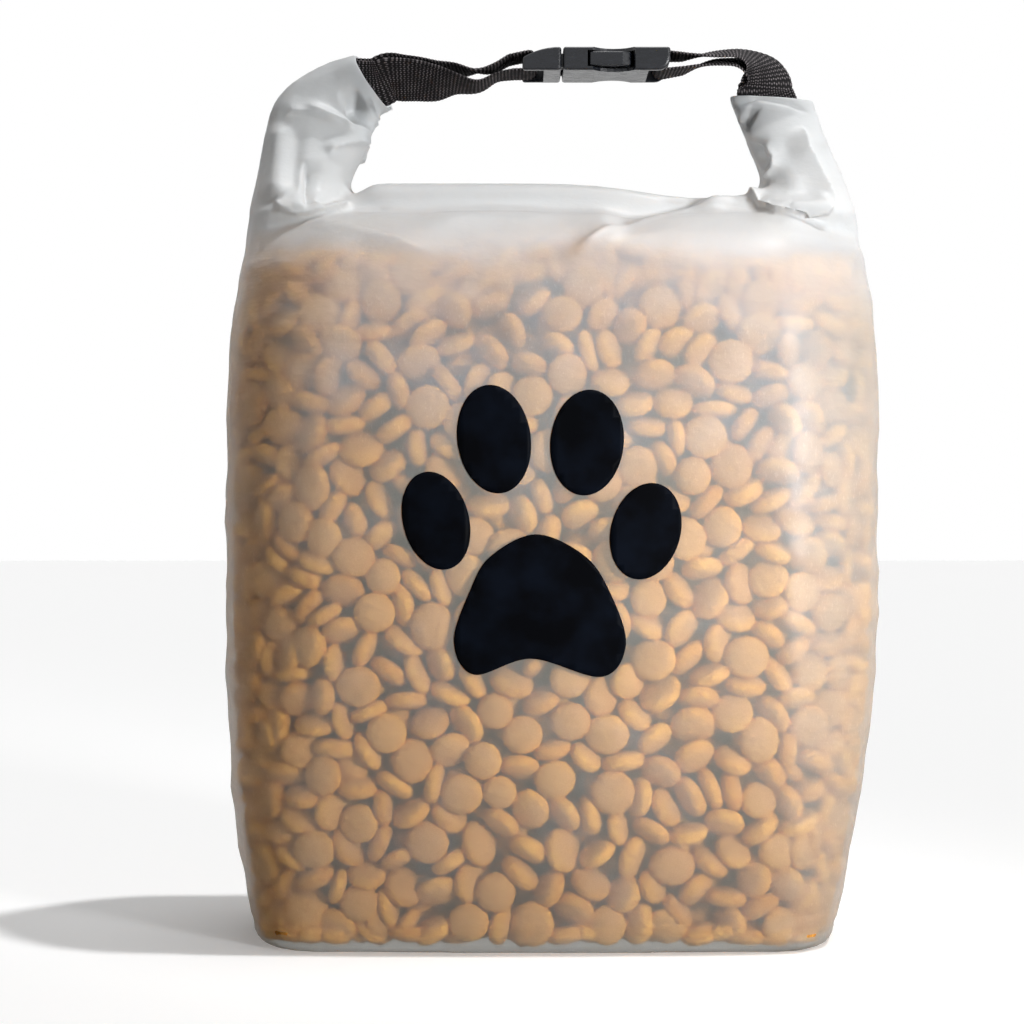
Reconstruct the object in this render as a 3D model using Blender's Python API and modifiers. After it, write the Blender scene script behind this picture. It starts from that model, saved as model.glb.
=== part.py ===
"""Roll-top dog food bag: a frosted film bag filled with kibble, closed by a rolled mouth.

The ends of the roll turn up into two sleeves, and webbing loops join them through a side-release
buckle, which makes the carrying handle. Units are metres, +Z is up and the camera side is -Y.
"""

import math
import random
from typing import NamedTuple

import bmesh
import bpy
from mathutils import Matrix, Vector

# Film bag: overall form
BAG_WIDTH = 0.2272
BAG_DEPTH = 0.116
BASE_LEFT = 0.103
BASE_RIGHT = 0.0964
BASE_DEPTH = 0.100
LEFT_FLARE_HEIGHT = 0.100
RIGHT_FLARE_HEIGHT = 0.125
DEPTH_FLARE_HEIGHT = 0.110
SHOULDER_HEIGHT = 0.236
TAPER_HEIGHT = 0.061
TOP_RISE = 0.012
SHOULDER_TAPER = 0.0058
SHOULDER_DEPTH_LOSS = 0.010
SHOULDER_DRAW = 0.016
TOP_STRIP_DEPTH = 0.012
PANEL_BULGE = 0.003
BASE_CORNER_RADIUS = 0.014
WALL_CORNER_RADIUS = 0.026
BASE_EDGE_RADIUS = 0.003
BASE_SEAM_HEIGHT = 0.0046
BASE_SEAM_STEP = 0.0004
FILM_THICKNESS = 0.0005

# Turn between two faces above which their edge is a corner, in radians
SHARP_ANGLE = 0.6

# Distance under which points are one, and how far a cut or a joint runs past a face
MERGE_DISTANCE = 1e-6
CUT_OVERRUN = 0.0001
JOINT_OVERLAP = 0.001

# Columns of the wall mesh, in each quarter corner, front or back panel and side
CORNER_COLUMNS = 4
PANEL_COLUMNS = 10
SIDE_COLUMNS = 4

# Rings of the wall: (share of the base edge's radius up, share of it drawn in) at the base,
# shares of the shoulder height up the wall, and degrees over the rounded top
BASE_EDGE_RINGS = ((0.0, 1.0), (0.3, 0.28), (1.0, 0.0))
WALL_RING_SHARES = (0.07, 0.14, 0.23, 0.34, 0.46, 0.60, 0.72, 0.82, 0.90, 0.96, 1.0)
TOP_RING_DEGREES = (18, 36, 54, 70, 84)
CORNER_DEPTH_SHARE = 0.96
LEAST_CORNER_RADIUS = 0.0004

# Rolled mouth
ROLL_WIDTH = 0.026
ROLL_THICKNESS = 0.0116
ROLL_SEAT = 0.0015
ROLL_LEFT_END = -0.078
ROLL_RIGHT_END = 0.080
ROLL_SAG = 0.0035
ROLL_SAG_AT = 0.048
ROLL_SAG_REACH = 0.035
ROLL_END_STEPS = 6
ROLL_STATIONS = 10
HEM_WIDTH = 0.012
HEM_STEP = 0.0006

# Upturned sleeves at the ends of the roll
SLEEVE_WALL = 0.0011
SLEEVE_COLUMNS = 18
SLEEVE_RINGS_PER_SPAN = 2
SLEEVE_MOUTH_OVERRUN = 0.002
SLEEVE_SQUARENESS = 0.75

# Kibble
KIBBLE_CLEARANCE = 0.0013
KIBBLE_RELIEF = 0.0030
KIBBLE_MARGIN = 0.0016
KIBBLE_ROWS = 16
KIBBLE_HEADROOM = 0.0085
KIBBLE_HEAP = 0.008
KIBBLE_JITTER = 0.0023
KIBBLE_TOP_RINGS = (0.80, 0.56, 0.30)
KIBBLE_SEED = 11

# Webbing
WEBBING_WIDTH = 0.0190
WEBBING_THICKNESS = 0.0012
WEBBING_SECTIONS_PER_SPAN = 3
PLY_OFFSET = 0.0009
LEFT_GRIP_RINGS = 1
LEFT_INSETS = (0.0044, 0.0026)
RIGHT_GRIP_RINGS = 2
RIGHT_INSETS = (0.0030, 0.0030)

# Side-release buckle
HANDLE_RISE = 0.065
BUCKLE_HEIGHT = SHOULDER_HEIGHT + HANDLE_RISE
BUCKLE_WIDTH = 0.025
BUCKLE_THICKNESS = 0.008
PARTING_X = 0.003
PARTING_GAP = 0.0006
PRONG_BODY_LENGTH = 0.0134
PRONG_NOSE_DROP = 0.0036
PRONG_NOSE_STEPS = 6
PRONG_NOSE_CURVE = 2.2
SOCKET_LENGTH = 0.0369
SHELL_WALL = 0.0013
CHEEK_WIDTH = 0.002
BAR_WIDTH = 0.0034
BAR_THICKNESS = 0.0030
WEB_SLOT_LENGTH = 0.004
MOUTH_DEPTH = 0.0275
ARM_HEIGHT = 0.0048
ARM_LENGTH = 0.0265
ARM_WIDTH = 0.0021
ARM_THIN_SHARE = 0.6
ARM_CATCH_SHARE = 0.4
ARM_CATCH_LENGTH = 0.002
ARM_TIP_DRAW = 0.0030
ARM_TIP_CHAMFER = 0.0012
PAD_START = 0.0098
PAD_LENGTH = 0.0142
PAD_RIM = 0.0003
PAD_SLOPE = 0.0007
PAD_END_SLOPE = (0.003, 0.0016)
TONGUE_LENGTH = 0.020
TONGUE_WIDTH = 0.0044
TONGUE_THICKNESS = 0.0030
SCOOP_LENGTH = 0.0182
SCOOP_DEPTH = 0.0045
SCOOP_REACH = 0.006
SCOOP_SEGMENTS = 24
WINDOW_CLEARANCE = 0.0012
SOCKET_HEEL_RADIUS = 0.0042
SOCKET_HEEL_STEPS = 6
BUCKLE_EDGE_RADIUS = 0.0009
BUCKLE_EDGE_STEPS = 3
ARM_EDGE_RADIUS = 0.0005
RUNNING_GAP = 0.0004
WRAP_RADIUS = 0.0033
WRAP_DEGREES = (-75, -45, -15, 15, 45, 75)

# Printed paw
PRINT_GAP = 0.0003
PRINT_THICKNESS = 0.0003
PRINT_RESOLUTION = 6
PRINT_FLAT_ANGLE = 0.001
TOE_POINTS = 8


class Sleeve(NamedTuple):
    """One cross-section of a sleeve: its outer and inner edge points and its thickness.

    The points' heights are above the shoulder.
    """

    outer: tuple[float, float, float]
    inner: tuple[float, float, float]
    depth: float


class Toe(NamedTuple):
    """One toe of the printed paw: an ellipse with its centre, half axes and lean in degrees."""

    name: str
    x: float
    z: float
    half_width: float
    half_height: float
    lean: float


class Ply(NamedTuple):
    """A station of doubled webbing: its middle and its width direction.

    The middle's height is above the buckle's middle. spread is the distance of each ply from it,
    and twist turns the plies apart, in degrees.
    """

    centre: tuple[float, float, float]
    across: tuple[float, float, float]
    spread: float
    twist: float = 0.0


LEFT_SLEEVE = (
    Sleeve((-0.1040, 0, -0.0040), (-0.0640, 0, -0.0020), 0.060),
    Sleeve((-0.1046, 0, 0.0110), (-0.0690, 0, 0.0120), 0.048),
    Sleeve((-0.1026, 0, 0.0260), (-0.0700, 0, 0.0240), 0.034),
    Sleeve((-0.1002, 0, 0.0400), (-0.0650, 0, 0.0360), 0.025),
    Sleeve((-0.0960, -0.002, 0.0520), (-0.0622, 0.002, 0.0445), 0.018),
    Sleeve((-0.0850, -0.005, 0.0615), (-0.0595, 0.005, 0.0495), 0.0165),
    Sleeve((-0.0672, -0.0090, 0.0661), (-0.0546, 0.0090, 0.0514), 0.0140),
)
RIGHT_SLEEVE = (
    Sleeve((0.1040, 0, -0.0040), (0.0680, 0, -0.0020), 0.060),
    Sleeve((0.1042, 0, 0.0110), (0.0715, 0, 0.0120), 0.048),
    Sleeve((0.1006, 0, 0.0250), (0.0732, 0, 0.0240), 0.031),
    Sleeve((0.0964, 0, 0.0360), (0.0690, 0, 0.0350), 0.023),
    Sleeve((0.0934, 0, 0.0450), (0.0648, 0, 0.0450), 0.014),
    Sleeve((0.0914, 0, 0.0530), (0.0610, 0, 0.0550), 0.0120),
)

LEFT_PLIES = (
    Ply((-0.0568, 0, -0.0042), (0.30, 0.75, -0.56), 0.0014),
    Ply((-0.0525, 0, -0.0032), (0.20, 0.80, -0.50), 0.0019, 3),
    Ply((-0.0470, 0, -0.0026), (0.00, 0.90, -0.38), 0.0025, 6),
    Ply((-0.0400, 0, -0.0033), (0.00, 0.95, -0.25), 0.0027, 8),
    Ply((-0.0335, 0, -0.0038), (0.00, 0.99, -0.10), 0.0023, 6),
    Ply((-0.0262, 0, -0.0048), (0.00, 1.00, 0.05), 0.0027, -5),
    Ply((-0.0200, 0, -0.0028), (0.00, 1.00, 0.03), 0.0016),
    Ply((-0.0143, 0, -0.0008), (0.00, 1.00, 0.00), 0.0026),
)
RIGHT_PLIES = (
    Ply((0.0741, 0, -0.0062), (-0.96, -0.27, 0.00), 0.0012),
    Ply((0.0722, 0, -0.0016), (-0.78, -0.60, -0.12), 0.0016),
    Ply((0.0685, 0, 0.0012), (-0.54, -0.82, -0.20), 0.0017),
    Ply((0.0640, 0, 0.0025), (-0.30, -0.92, -0.28), 0.0016),
    Ply((0.0580, 0, 0.0024), (-0.08, -0.96, -0.28), 0.0014),
    Ply((0.0520, 0, 0.0016), (0.00, -0.98, -0.18), 0.0017),
    Ply((0.0460, 0, 0.0004), (0.00, -1.00, -0.05), 0.0024),
)

TOES = (
    Toe("paw_print_outer_left_toe", -0.0386, 0.1422, 0.0107, 0.0162, 15),
    Toe("paw_print_inner_left_toe", -0.0198, 0.1686, 0.0119, 0.0177, 8),
    Toe("paw_print_inner_right_toe", 0.0103, 0.1675, 0.0119, 0.0172, -6),
    Toe("paw_print_outer_right_toe", 0.0293, 0.1388, 0.0113, 0.0159, -15),
)
PAD_NAME = "paw_print_pad"
PAD_CENTRE = (-0.0061, 0.1115)
PAD_OUTLINE = (
    (-0.0002, 0.0263),
    (0.0154, 0.0195),
    (0.0236, 0.0080),
    (0.0290, -0.0092),
    (0.0212, -0.0199),
    (-0.0016, -0.0140),
    (-0.0202, -0.0192),
    (-0.0267, -0.0085),
    (-0.0216, 0.0078),
    (-0.0150, 0.0190),
)

FILM_COLOUR = (0.90, 0.89, 0.86, 0.42)
KIBBLE_COLOUR = (0.62, 0.33, 0.13, 1.0)
WEBBING_COLOUR = (0.045, 0.038, 0.040, 1.0)
BUCKLE_COLOUR = (0.012, 0.014, 0.018, 1.0)
PRINT_COLOUR = (0.006, 0.007, 0.010, 1.0)


def clear_scene():
    """Empties the scene that the script starts in."""
    for obj in list(bpy.data.objects):
        bpy.data.objects.remove(obj)


def collection(name):
    """A new collection in the scene."""
    made = bpy.data.collections.new(name)
    bpy.context.scene.collection.children.link(made)
    return made


def material(name, colour, roughness):
    """A Principled BSDF with one colour; its fourth number is the opacity."""
    made = bpy.data.materials.new(name)
    made.use_nodes = True
    shader = made.node_tree.nodes["Principled BSDF"]
    shader.inputs["Base Color"].default_value = (*colour[:3], 1.0)
    shader.inputs["Alpha"].default_value = colour[3]
    shader.inputs["Roughness"].default_value = roughness
    shader.inputs["Metallic"].default_value = 0.0
    return made


clear_scene()
PARTS = collection("dog_food_bag")
CUTTERS = collection("cutters")
FILM = material("frosted_film", FILM_COLOUR, 0.45)
KIBBLE = material("baked_kibble", KIBBLE_COLOUR, 0.85)
WEBBING = material("dark_webbing", WEBBING_COLOUR, 0.90)
BUCKLE = material("black_acetal", BUCKLE_COLOUR, 0.30)
PRINT = material("black_print", PRINT_COLOUR, 0.40)


def add_part(name, mesh, finish):
    """Puts a mesh in the scene as one sub-part."""
    obj = bpy.data.objects.new(name, mesh)
    obj.data.materials.append(finish)
    PARTS.objects.link(obj)
    return obj


def add_cutter(name, mesh):
    """Puts a mesh in the scene as a hidden Boolean tool."""
    obj = bpy.data.objects.new(name, mesh)
    CUTTERS.objects.link(obj)
    obj.hide_render = True
    obj.display_type = "WIRE"
    return obj


def combine(obj, tool, operation):
    """Adds a Boolean modifier."""
    modifier = obj.modifiers.new(f"{operation.lower()}_{tool.name}", "BOOLEAN")
    modifier.operation = operation
    modifier.object = tool


def mesh_of(bm, name):
    """Turns a bmesh with its normals outwards into a mesh."""
    bmesh.ops.recalc_face_normals(bm, faces=bm.faces)
    mesh = bpy.data.meshes.new(name)
    bm.to_mesh(mesh)
    bm.free()
    return mesh


def grid_on(bm, columns, rows, place):
    """Fills bm with a grid of quads whose vertex at (column, row) goes to place(column, row)."""
    bmesh.ops.create_grid(bm, x_segments=columns, y_segments=rows, size=0.5)
    for vertex in bm.verts:
        column = round((vertex.co.x + 0.5) * columns)
        row = round((vertex.co.y + 0.5) * rows)
        vertex.co = place(column, row)


def lofted(name, rings):
    """A closed solid through rings of as many points each, with flat ends."""
    bm = bmesh.new()
    columns = len(rings[0])
    grid_on(bm, columns, len(rings) - 1, lambda column, row: rings[row][column % columns])
    bmesh.ops.remove_doubles(bm, verts=bm.verts, dist=MERGE_DISTANCE)
    bmesh.ops.holes_fill(bm, edges=[edge for edge in bm.edges if edge.is_boundary])
    bmesh.ops.triangulate(bm, faces=[face for face in bm.faces if len(face.verts) == 4])
    return mesh_of(bm, name)


def block(name, low, high, radius=0.0):
    """A box between two corners, with rounded edges."""
    bm = bmesh.new()
    bmesh.ops.create_cube(bm, size=1.0)
    low = Vector(low)
    high = Vector(high)
    for vertex in bm.verts:
        vertex.co = (low + high) / 2 + Vector(
            (vertex.co[axis] * (high[axis] - low[axis]) for axis in range(3))
        )
    if radius:
        bmesh.ops.bevel(
            bm, geom=bm.edges[:], offset=radius, segments=2, profile=0.5, affect="EDGES"
        )
    return mesh_of(bm, name)


def spline_points(points, per_span):
    """Points on a smooth curve through the given ones."""
    ends = [2 * points[0] - points[1], *points, 2 * points[-1] - points[-2]]
    smooth = []
    for index in range(1, len(ends) - 2):
        a, b, c, d = ends[index - 1 : index + 3]
        for step in range(per_span):
            t = step / per_span
            smooth.append(
                0.5 * (2 * b + (c - a) * t + (2 * a - 5 * b + 4 * c - d) * t**2
                       + (3 * b - a - 3 * c + d) * t**3)
            )
    smooth.append(points[-1])
    return smooth


def eased(share):
    """A rise from 0 to 1 that slows down towards its end."""
    share = min(max(share, 0.0), 1.0)
    return 1 - (1 - share) ** 2


def taper(height):
    """How far the wall has drawn in towards the shoulder, from 0 to 1."""
    return max(1 - (SHOULDER_HEIGHT - height) / TAPER_HEIGHT, 0.0) ** 2


def wall_section(height):
    """(left, right, half depth, corner radius) of the filled bag at a height."""
    drawn_in = SHOULDER_TAPER * taper(height)
    half_width = BAG_WIDTH / 2
    left = BASE_LEFT + (half_width - BASE_LEFT) * eased(height / LEFT_FLARE_HEIGHT)
    right = BASE_RIGHT + (half_width - BASE_RIGHT) * eased(height / RIGHT_FLARE_HEIGHT)
    full = (BAG_DEPTH - BASE_DEPTH) / 2 * eased(height / DEPTH_FLARE_HEIGHT)
    depth = BASE_DEPTH / 2 + full - SHOULDER_DEPTH_LOSS * taper(height) - PANEL_BULGE
    grown = eased(height / DEPTH_FLARE_HEIGHT)
    corner = BASE_CORNER_RADIUS + (WALL_CORNER_RADIUS - BASE_CORNER_RADIUS) * grown
    return left - drawn_in, right - drawn_in, depth, corner


def ring(height, inset, section):
    """Points round the bag at a height: a rounded rectangle whose long sides bulge.

    It starts at the middle of the right side and runs over the back to the left and the front.
    """
    left, right, depth, corner = section
    left -= inset
    right -= inset
    depth -= inset
    corner = max(min(corner - inset, depth * CORNER_DEPTH_SHARE), LEAST_CORNER_RADIUS)
    points = []
    corners = (
        (right - corner, depth - corner, 0),
        (corner - left, depth - corner, 90),
        (corner - left, corner - depth, 180),
        (right - corner, corner - depth, 270),
    )
    flats = (PANEL_COLUMNS, SIDE_COLUMNS, PANEL_COLUMNS, SIDE_COLUMNS)
    for index, (x, y, start) in enumerate(corners):
        for step in range(CORNER_COLUMNS + 1):
            angle = math.radians(start + 90 * step / CORNER_COLUMNS)
            points.append((x + corner * math.cos(angle), y + corner * math.sin(angle)))
        next_x, next_y, next_start = corners[(index + 1) % 4]
        turned = math.radians(next_start)
        begin = points[-1]
        end = (next_x + corner * math.cos(turned), next_y + corner * math.sin(turned))
        for step in range(1, flats[index]):
            share = step / flats[index]
            points.append(
                (
                    begin[0] + (end[0] - begin[0]) * share,
                    begin[1] + (end[1] - begin[1]) * share,
                )
            )
    swell = PANEL_BULGE * min(depth / (BASE_DEPTH / 2), 1.0)
    bulged = []
    for x, y in points:
        reach = right if x > 0 else left
        across = max(0.0, 1 - (x / reach) ** 2)
        bulged.append(Vector((x, y + swell * across * y / depth, height)))
    return bulged


def bag_rings(inset, floor):
    """Rings of the whole filled bag from its base to the strip under the roll."""
    rings = []
    for share, drawn in BASE_EDGE_RINGS:
        height = floor + BASE_EDGE_RADIUS * share
        rings.append(ring(height, inset + BASE_EDGE_RADIUS * drawn, wall_section(height)))
    seam = BASE_SEAM_HEIGHT
    rings.append(ring(seam, inset - BASE_SEAM_STEP, wall_section(seam)))
    rings.append(ring(seam + 2 * BASE_SEAM_STEP, inset, wall_section(seam)))
    for share in WALL_RING_SHARES:
        height = SHOULDER_HEIGHT * share
        rings.append(ring(height, inset, wall_section(height)))
    left, right, depth, corner = wall_section(SHOULDER_HEIGHT)
    for degrees in TOP_RING_DEGREES:
        angle = math.radians(degrees)
        height = SHOULDER_HEIGHT + (TOP_RISE - inset) * math.sin(angle)
        strip = TOP_STRIP_DEPTH / 2
        narrowed = strip + (depth - strip) * math.cos(angle)
        drawn = SHOULDER_DRAW * (1 - math.cos(angle))
        rings.append(ring(height, inset, (left - drawn, right - drawn, narrowed, corner)))
    return rings


def sleeve_splines(sections):
    """Smooth lists of a sleeve's outer edge points, inner edge points and thicknesses."""
    base = Vector((0, 0, SHOULDER_HEIGHT))
    outers = [base + Vector(section.outer) for section in sections]
    inners = [base + Vector(section.inner) for section in sections]
    depths = [Vector((section.depth, 0, 0)) for section in sections]
    outers = spline_points(outers, SLEEVE_RINGS_PER_SPAN)
    inners = spline_points(inners, SLEEVE_RINGS_PER_SPAN)
    return outers, inners, [depth.x for depth in spline_points(depths, SLEEVE_RINGS_PER_SPAN)]


def sleeve_rings(sections, wall, overrun):
    """Flattened rings along a sleeve, drawn in by wall, to an overrun past its mouth."""
    outers, inners, depths = sleeve_splines(sections)
    outers[0].z -= wall
    inners[0].z -= wall
    if overrun:
        ahead = (outers[-1] + inners[-1] - outers[-2] - inners[-2]).normalized() * overrun
        outers.append(outers[-1] + ahead)
        inners.append(inners[-1] + ahead)
        depths.append(depths[-1])
    last = len(outers) - 1
    rings = []
    for index in range(last + 1):
        centre = (outers[index] + inners[index]) / 2
        half = (inners[index] - outers[index]) / 2
        half = half.normalized() * (half.length - wall)
        after = min(index + 1, last)
        before = max(index - 1, 0)
        along = outers[after] + inners[after] - outers[before] - inners[before]
        thick = along.cross(half).normalized() * (depths[index] / 2 - wall)
        points = []
        for step in range(SLEEVE_COLUMNS):
            angle = 2 * math.pi * step / SLEEVE_COLUMNS
            flat = math.copysign(abs(math.sin(angle)) ** SLEEVE_SQUARENESS, math.sin(angle))
            points.append(centre + half * math.cos(angle) + thick * flat)
        rings.append(points)
    return rings


def roll_rings():
    """Rings along the rolled mouth: a flat rounded bar with the hem of the last turn on top."""
    rings = []
    half = ROLL_THICKNESS / 2
    straight = ROLL_WIDTH / 2 - half
    outline = []
    for side, start in ((1, 90), (-1, 270)):
        for step in range(ROLL_END_STEPS + 1):
            angle = math.radians(start - 180 * step / ROLL_END_STEPS)
            outline.append((side * straight + half * math.cos(angle), half * math.sin(angle)))
    hem = [
        (-straight + HEM_STEP, half + HEM_STEP),
        (-straight + HEM_WIDTH, half + HEM_STEP),
        (-straight + HEM_WIDTH + HEM_STEP / 2, half),
    ]
    outline.extend(hem)
    seat = SHOULDER_HEIGHT + TOP_RISE - ROLL_SEAT + half
    for index in range(ROLL_STATIONS + 1):
        x = ROLL_LEFT_END + (ROLL_RIGHT_END - ROLL_LEFT_END) * index / ROLL_STATIONS
        sag = ROLL_SAG * math.exp(-(((x - ROLL_SAG_AT) / ROLL_SAG_REACH) ** 2))
        rings.append([Vector((x, y, seat + z - sag)) for y, z in outline])
    return rings


def build_bag():
    """The film bag: filled body, rolled mouth and both sleeves, hollow and open at the sleeves."""
    bag = add_part("bag_film", lofted("bag_film", bag_rings(0.0, 0.0)), FILM)
    roll = add_cutter("rolled_mouth", lofted("rolled_mouth", roll_rings()))
    combine(bag, roll, "UNION")
    for name, sections in (("left_sleeve", LEFT_SLEEVE), ("right_sleeve", RIGHT_SLEEVE)):
        sleeve = add_cutter(name, lofted(name, sleeve_rings(sections, 0.0, 0.0)))
        combine(bag, sleeve, "UNION")
    inside = lofted("bag_inside", bag_rings(FILM_THICKNESS, FILM_THICKNESS))
    combine(bag, add_cutter("bag_inside", inside), "DIFFERENCE")
    for name, sections in (("left_bore", LEFT_SLEEVE), ("right_bore", RIGHT_SLEEVE)):
        rings = sleeve_rings(sections, SLEEVE_WALL, SLEEVE_MOUTH_OVERRUN)
        combine(bag, add_cutter(name, lofted(name, rings)), "DIFFERENCE")
    return bag


def kibble_rings(inset):
    """Rings of the heap of kibble: up the walls, then in over its rounded top."""
    rings = []
    floor = FILM_THICKNESS + KIBBLE_CLEARANCE
    top = SHOULDER_HEIGHT - KIBBLE_HEADROOM
    for row in range(KIBBLE_ROWS + 1):
        height = floor + (top - floor) * row / KIBBLE_ROWS
        drawn = BASE_EDGE_RADIUS if row == 0 else 0.0
        rings.append(ring(height, inset + drawn, wall_section(height)))
    left, right, depth, corner = wall_section(top)
    for share in KIBBLE_TOP_RINGS:
        height = top + KIBBLE_HEAP * (1 - share**2)
        narrowed = (left * share, right * share, depth * share, corner * share)
        rings.append(ring(height, 0.0, narrowed))
    return rings


def build_kibble():
    """The kibble as one heap, each face of its skin raised into a flat-topped piece."""
    rings = kibble_rings(FILM_THICKNESS + KIBBLE_CLEARANCE + KIBBLE_RELIEF)
    columns = len(rings[0])
    chance = random.Random(KIBBLE_SEED)
    for row in range(1, len(rings) - 1):
        moved = []
        for column in range(columns):
            along = (rings[row][(column + 1) % columns] - rings[row][column - 1]) / 2
            along = along.normalized() * chance.uniform(-KIBBLE_JITTER, KIBBLE_JITTER)
            rise = Vector((0, 0, chance.uniform(-KIBBLE_JITTER, KIBBLE_JITTER)))
            steep = row < KIBBLE_ROWS - 1
            moved.append(rings[row][column] + along + (rise if steep else Vector()))
        rings[row] = moved
    bm = bmesh.new()
    grid_on(bm, columns, len(rings) - 1, lambda column, row: rings[row][column % columns])
    bmesh.ops.remove_doubles(bm, verts=bm.verts, dist=MERGE_DISTANCE)
    skin = bm.faces[:]
    bmesh.ops.holes_fill(bm, edges=[edge for edge in bm.edges if edge.is_boundary])
    bmesh.ops.recalc_face_normals(bm, faces=bm.faces)
    bmesh.ops.inset_individual(
        bm, faces=skin, thickness=KIBBLE_MARGIN, depth=KIBBLE_RELIEF, use_even_offset=True
    )
    return add_part("kibble_fill", mesh_of(bm, "kibble_fill"), KIBBLE)


def strap(name, stations):
    """A webbing strip through (middle, width direction) stations."""
    last = len(stations) - 1
    bm = bmesh.new()

    def place(column, row):
        middle, across = stations[row]
        return middle + across * WEBBING_WIDTH * (column - 0.5)

    grid_on(bm, 1, last, place)
    obj = add_part(name, mesh_of(bm, name), WEBBING)
    thicken = obj.modifiers.new("webbing_thickness", "SOLIDIFY")
    thicken.thickness = WEBBING_THICKNESS
    thicken.offset = 0.0
    return obj


def bar_wrap(bar_x, side):
    """Points of a strip round a buckle's bar, from under it to over it through the slot.

    side is 1 where the slot is on the +X side of the bar and -1 where it is on the -X side.
    """
    points = []
    for degrees in WRAP_DEGREES:
        angle = math.radians(degrees)
        points.append(
            (
                bar_x + side * WRAP_RADIUS * math.cos(angle),
                0.0,
                BUCKLE_HEIGHT + WRAP_RADIUS * math.sin(angle),
            )
        )
    return points


def held_plies(sections, grip_rings, insets):
    """Two stations of webbing in a sleeve: some rings back from its mouth, and at its mouth.

    insets says for each how far the webbing's inner edge stays from the sleeve's wall.
    """
    outers, inners, _ = sleeve_splines(sections)
    plies = []
    for back, inset in zip((grip_rings, 0), insets, strict=True):
        inner = inners[-1 - back]
        across = (inner - outers[-1 - back]).normalized()
        centre = inner - across * (WEBBING_WIDTH / 2 + SLEEVE_WALL + inset)
        centre.z -= BUCKLE_HEIGHT
        plies.append(Ply(tuple(centre), tuple(across), PLY_OFFSET))
    return plies


def doubled_strap(name, plies, bar_x, slot_side):
    """A strip that runs out along one ply, round a buckle's bar and back along the other."""
    base = Vector((0, 0, BUCKLE_HEIGHT))
    centres = [base + Vector(ply.centre) for ply in plies]
    centres = spline_points(centres, WEBBING_SECTIONS_PER_SPAN)
    widths = spline_points([Vector(ply.across) for ply in plies], WEBBING_SECTIONS_PER_SPAN)
    gaps = spline_points(
        [Vector((ply.spread, math.radians(ply.twist), 0)) for ply in plies],
        WEBBING_SECTIONS_PER_SPAN,
    )
    last = len(centres) - 1
    lower = []
    upper = []
    for index, (centre, width, gap) in enumerate(zip(centres, widths, gaps, strict=True)):
        along = (centres[min(index + 1, last)] - centres[max(index - 1, 0)]).normalized()
        across = (width - along * width.dot(along)).normalized()
        away = along.cross(across)
        turn = Matrix.Rotation(gap.y, 3, along)
        lower.append((centre - away * gap.x, turn @ across))
        upper.append((centre + away * gap.x, turn.transposed() @ across))
    flat = Vector((0, slot_side, 0))
    wrap = [(Vector(point), flat) for point in bar_wrap(bar_x, slot_side)]
    return strap(name, [*lower, *wrap, *reversed(upper)])


def build_left_webbing():
    """The loop from the left sleeve round the bar of the prong half."""
    bar_x = PARTING_X - PRONG_BODY_LENGTH + BAR_WIDTH / 2
    held = held_plies(LEFT_SLEEVE, LEFT_GRIP_RINGS, LEFT_INSETS)
    return doubled_strap("webbing_loop_left", (*held, *LEFT_PLIES), bar_x, 1)


def build_right_webbing():
    """The loop from the right sleeve round the bar of the socket half."""
    bar_x = PARTING_X + PARTING_GAP + SOCKET_LENGTH - BAR_WIDTH / 2
    held = held_plies(RIGHT_SLEEVE, RIGHT_GRIP_RINGS, RIGHT_INSETS)
    return doubled_strap("webbing_loop_right", (*held, *RIGHT_PLIES), bar_x, -1)


def arm_outline(side):
    """Plan outline of one flexing arm with its press pad and catch; side is 1 or -1."""
    root = PARTING_X - JOINT_OVERLAP
    start = PARTING_X + PAD_START
    end = start + PAD_LENGTH
    tip = PARTING_X + ARM_LENGTH
    rim = BUCKLE_WIDTH / 2 - PAD_RIM
    stem = BUCKLE_WIDTH / 2 - CHEEK_WIDTH - SHELL_WALL - RUNNING_GAP
    slope, drop = PAD_END_SLOPE
    thin = ARM_WIDTH * ARM_THIN_SHARE
    drawn = stem - ARM_TIP_DRAW
    outer = [
        (root, stem),
        (start - PAD_SLOPE, stem),
        (start, rim),
        (end - slope, rim),
        (end, rim - drop),
        (tip, drawn),
    ]
    inner = [
        (tip - ARM_TIP_CHAMFER, drawn - thin),
        (end - ARM_CATCH_LENGTH, stem - ARM_WIDTH * ARM_CATCH_SHARE),
        (start + JOINT_OVERLAP, stem - thin),
        (root, stem - ARM_WIDTH),
    ]
    return [(x, side * y) for x, y in outer + inner]


def round_corners(bm, radius):
    """Rounds the edges where faces meet at a real corner."""
    sharp = [edge for edge in bm.edges if edge.calc_face_angle(0.0) > SHARP_ANGLE]
    bmesh.ops.bevel(
        bm, geom=sharp, offset=radius, segments=BUCKLE_EDGE_STEPS, profile=0.5, affect="EDGES"
    )


def prism(name, outline, low, high):
    """A flat outline in the XY plane made thick from low to high along Z, with rounded edges."""
    bm = bmesh.new()
    face = bm.faces.new([bm.verts.new((x, y, low)) for x, y in outline])
    raised = bmesh.ops.extrude_face_region(bm, geom=[face])["geom"]
    for item in raised:
        if isinstance(item, bmesh.types.BMVert):
            item.co.z = high
    bmesh.ops.recalc_face_normals(bm, faces=bm.faces)
    round_corners(bm, ARM_EDGE_RADIUS)
    return mesh_of(bm, name)


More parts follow.
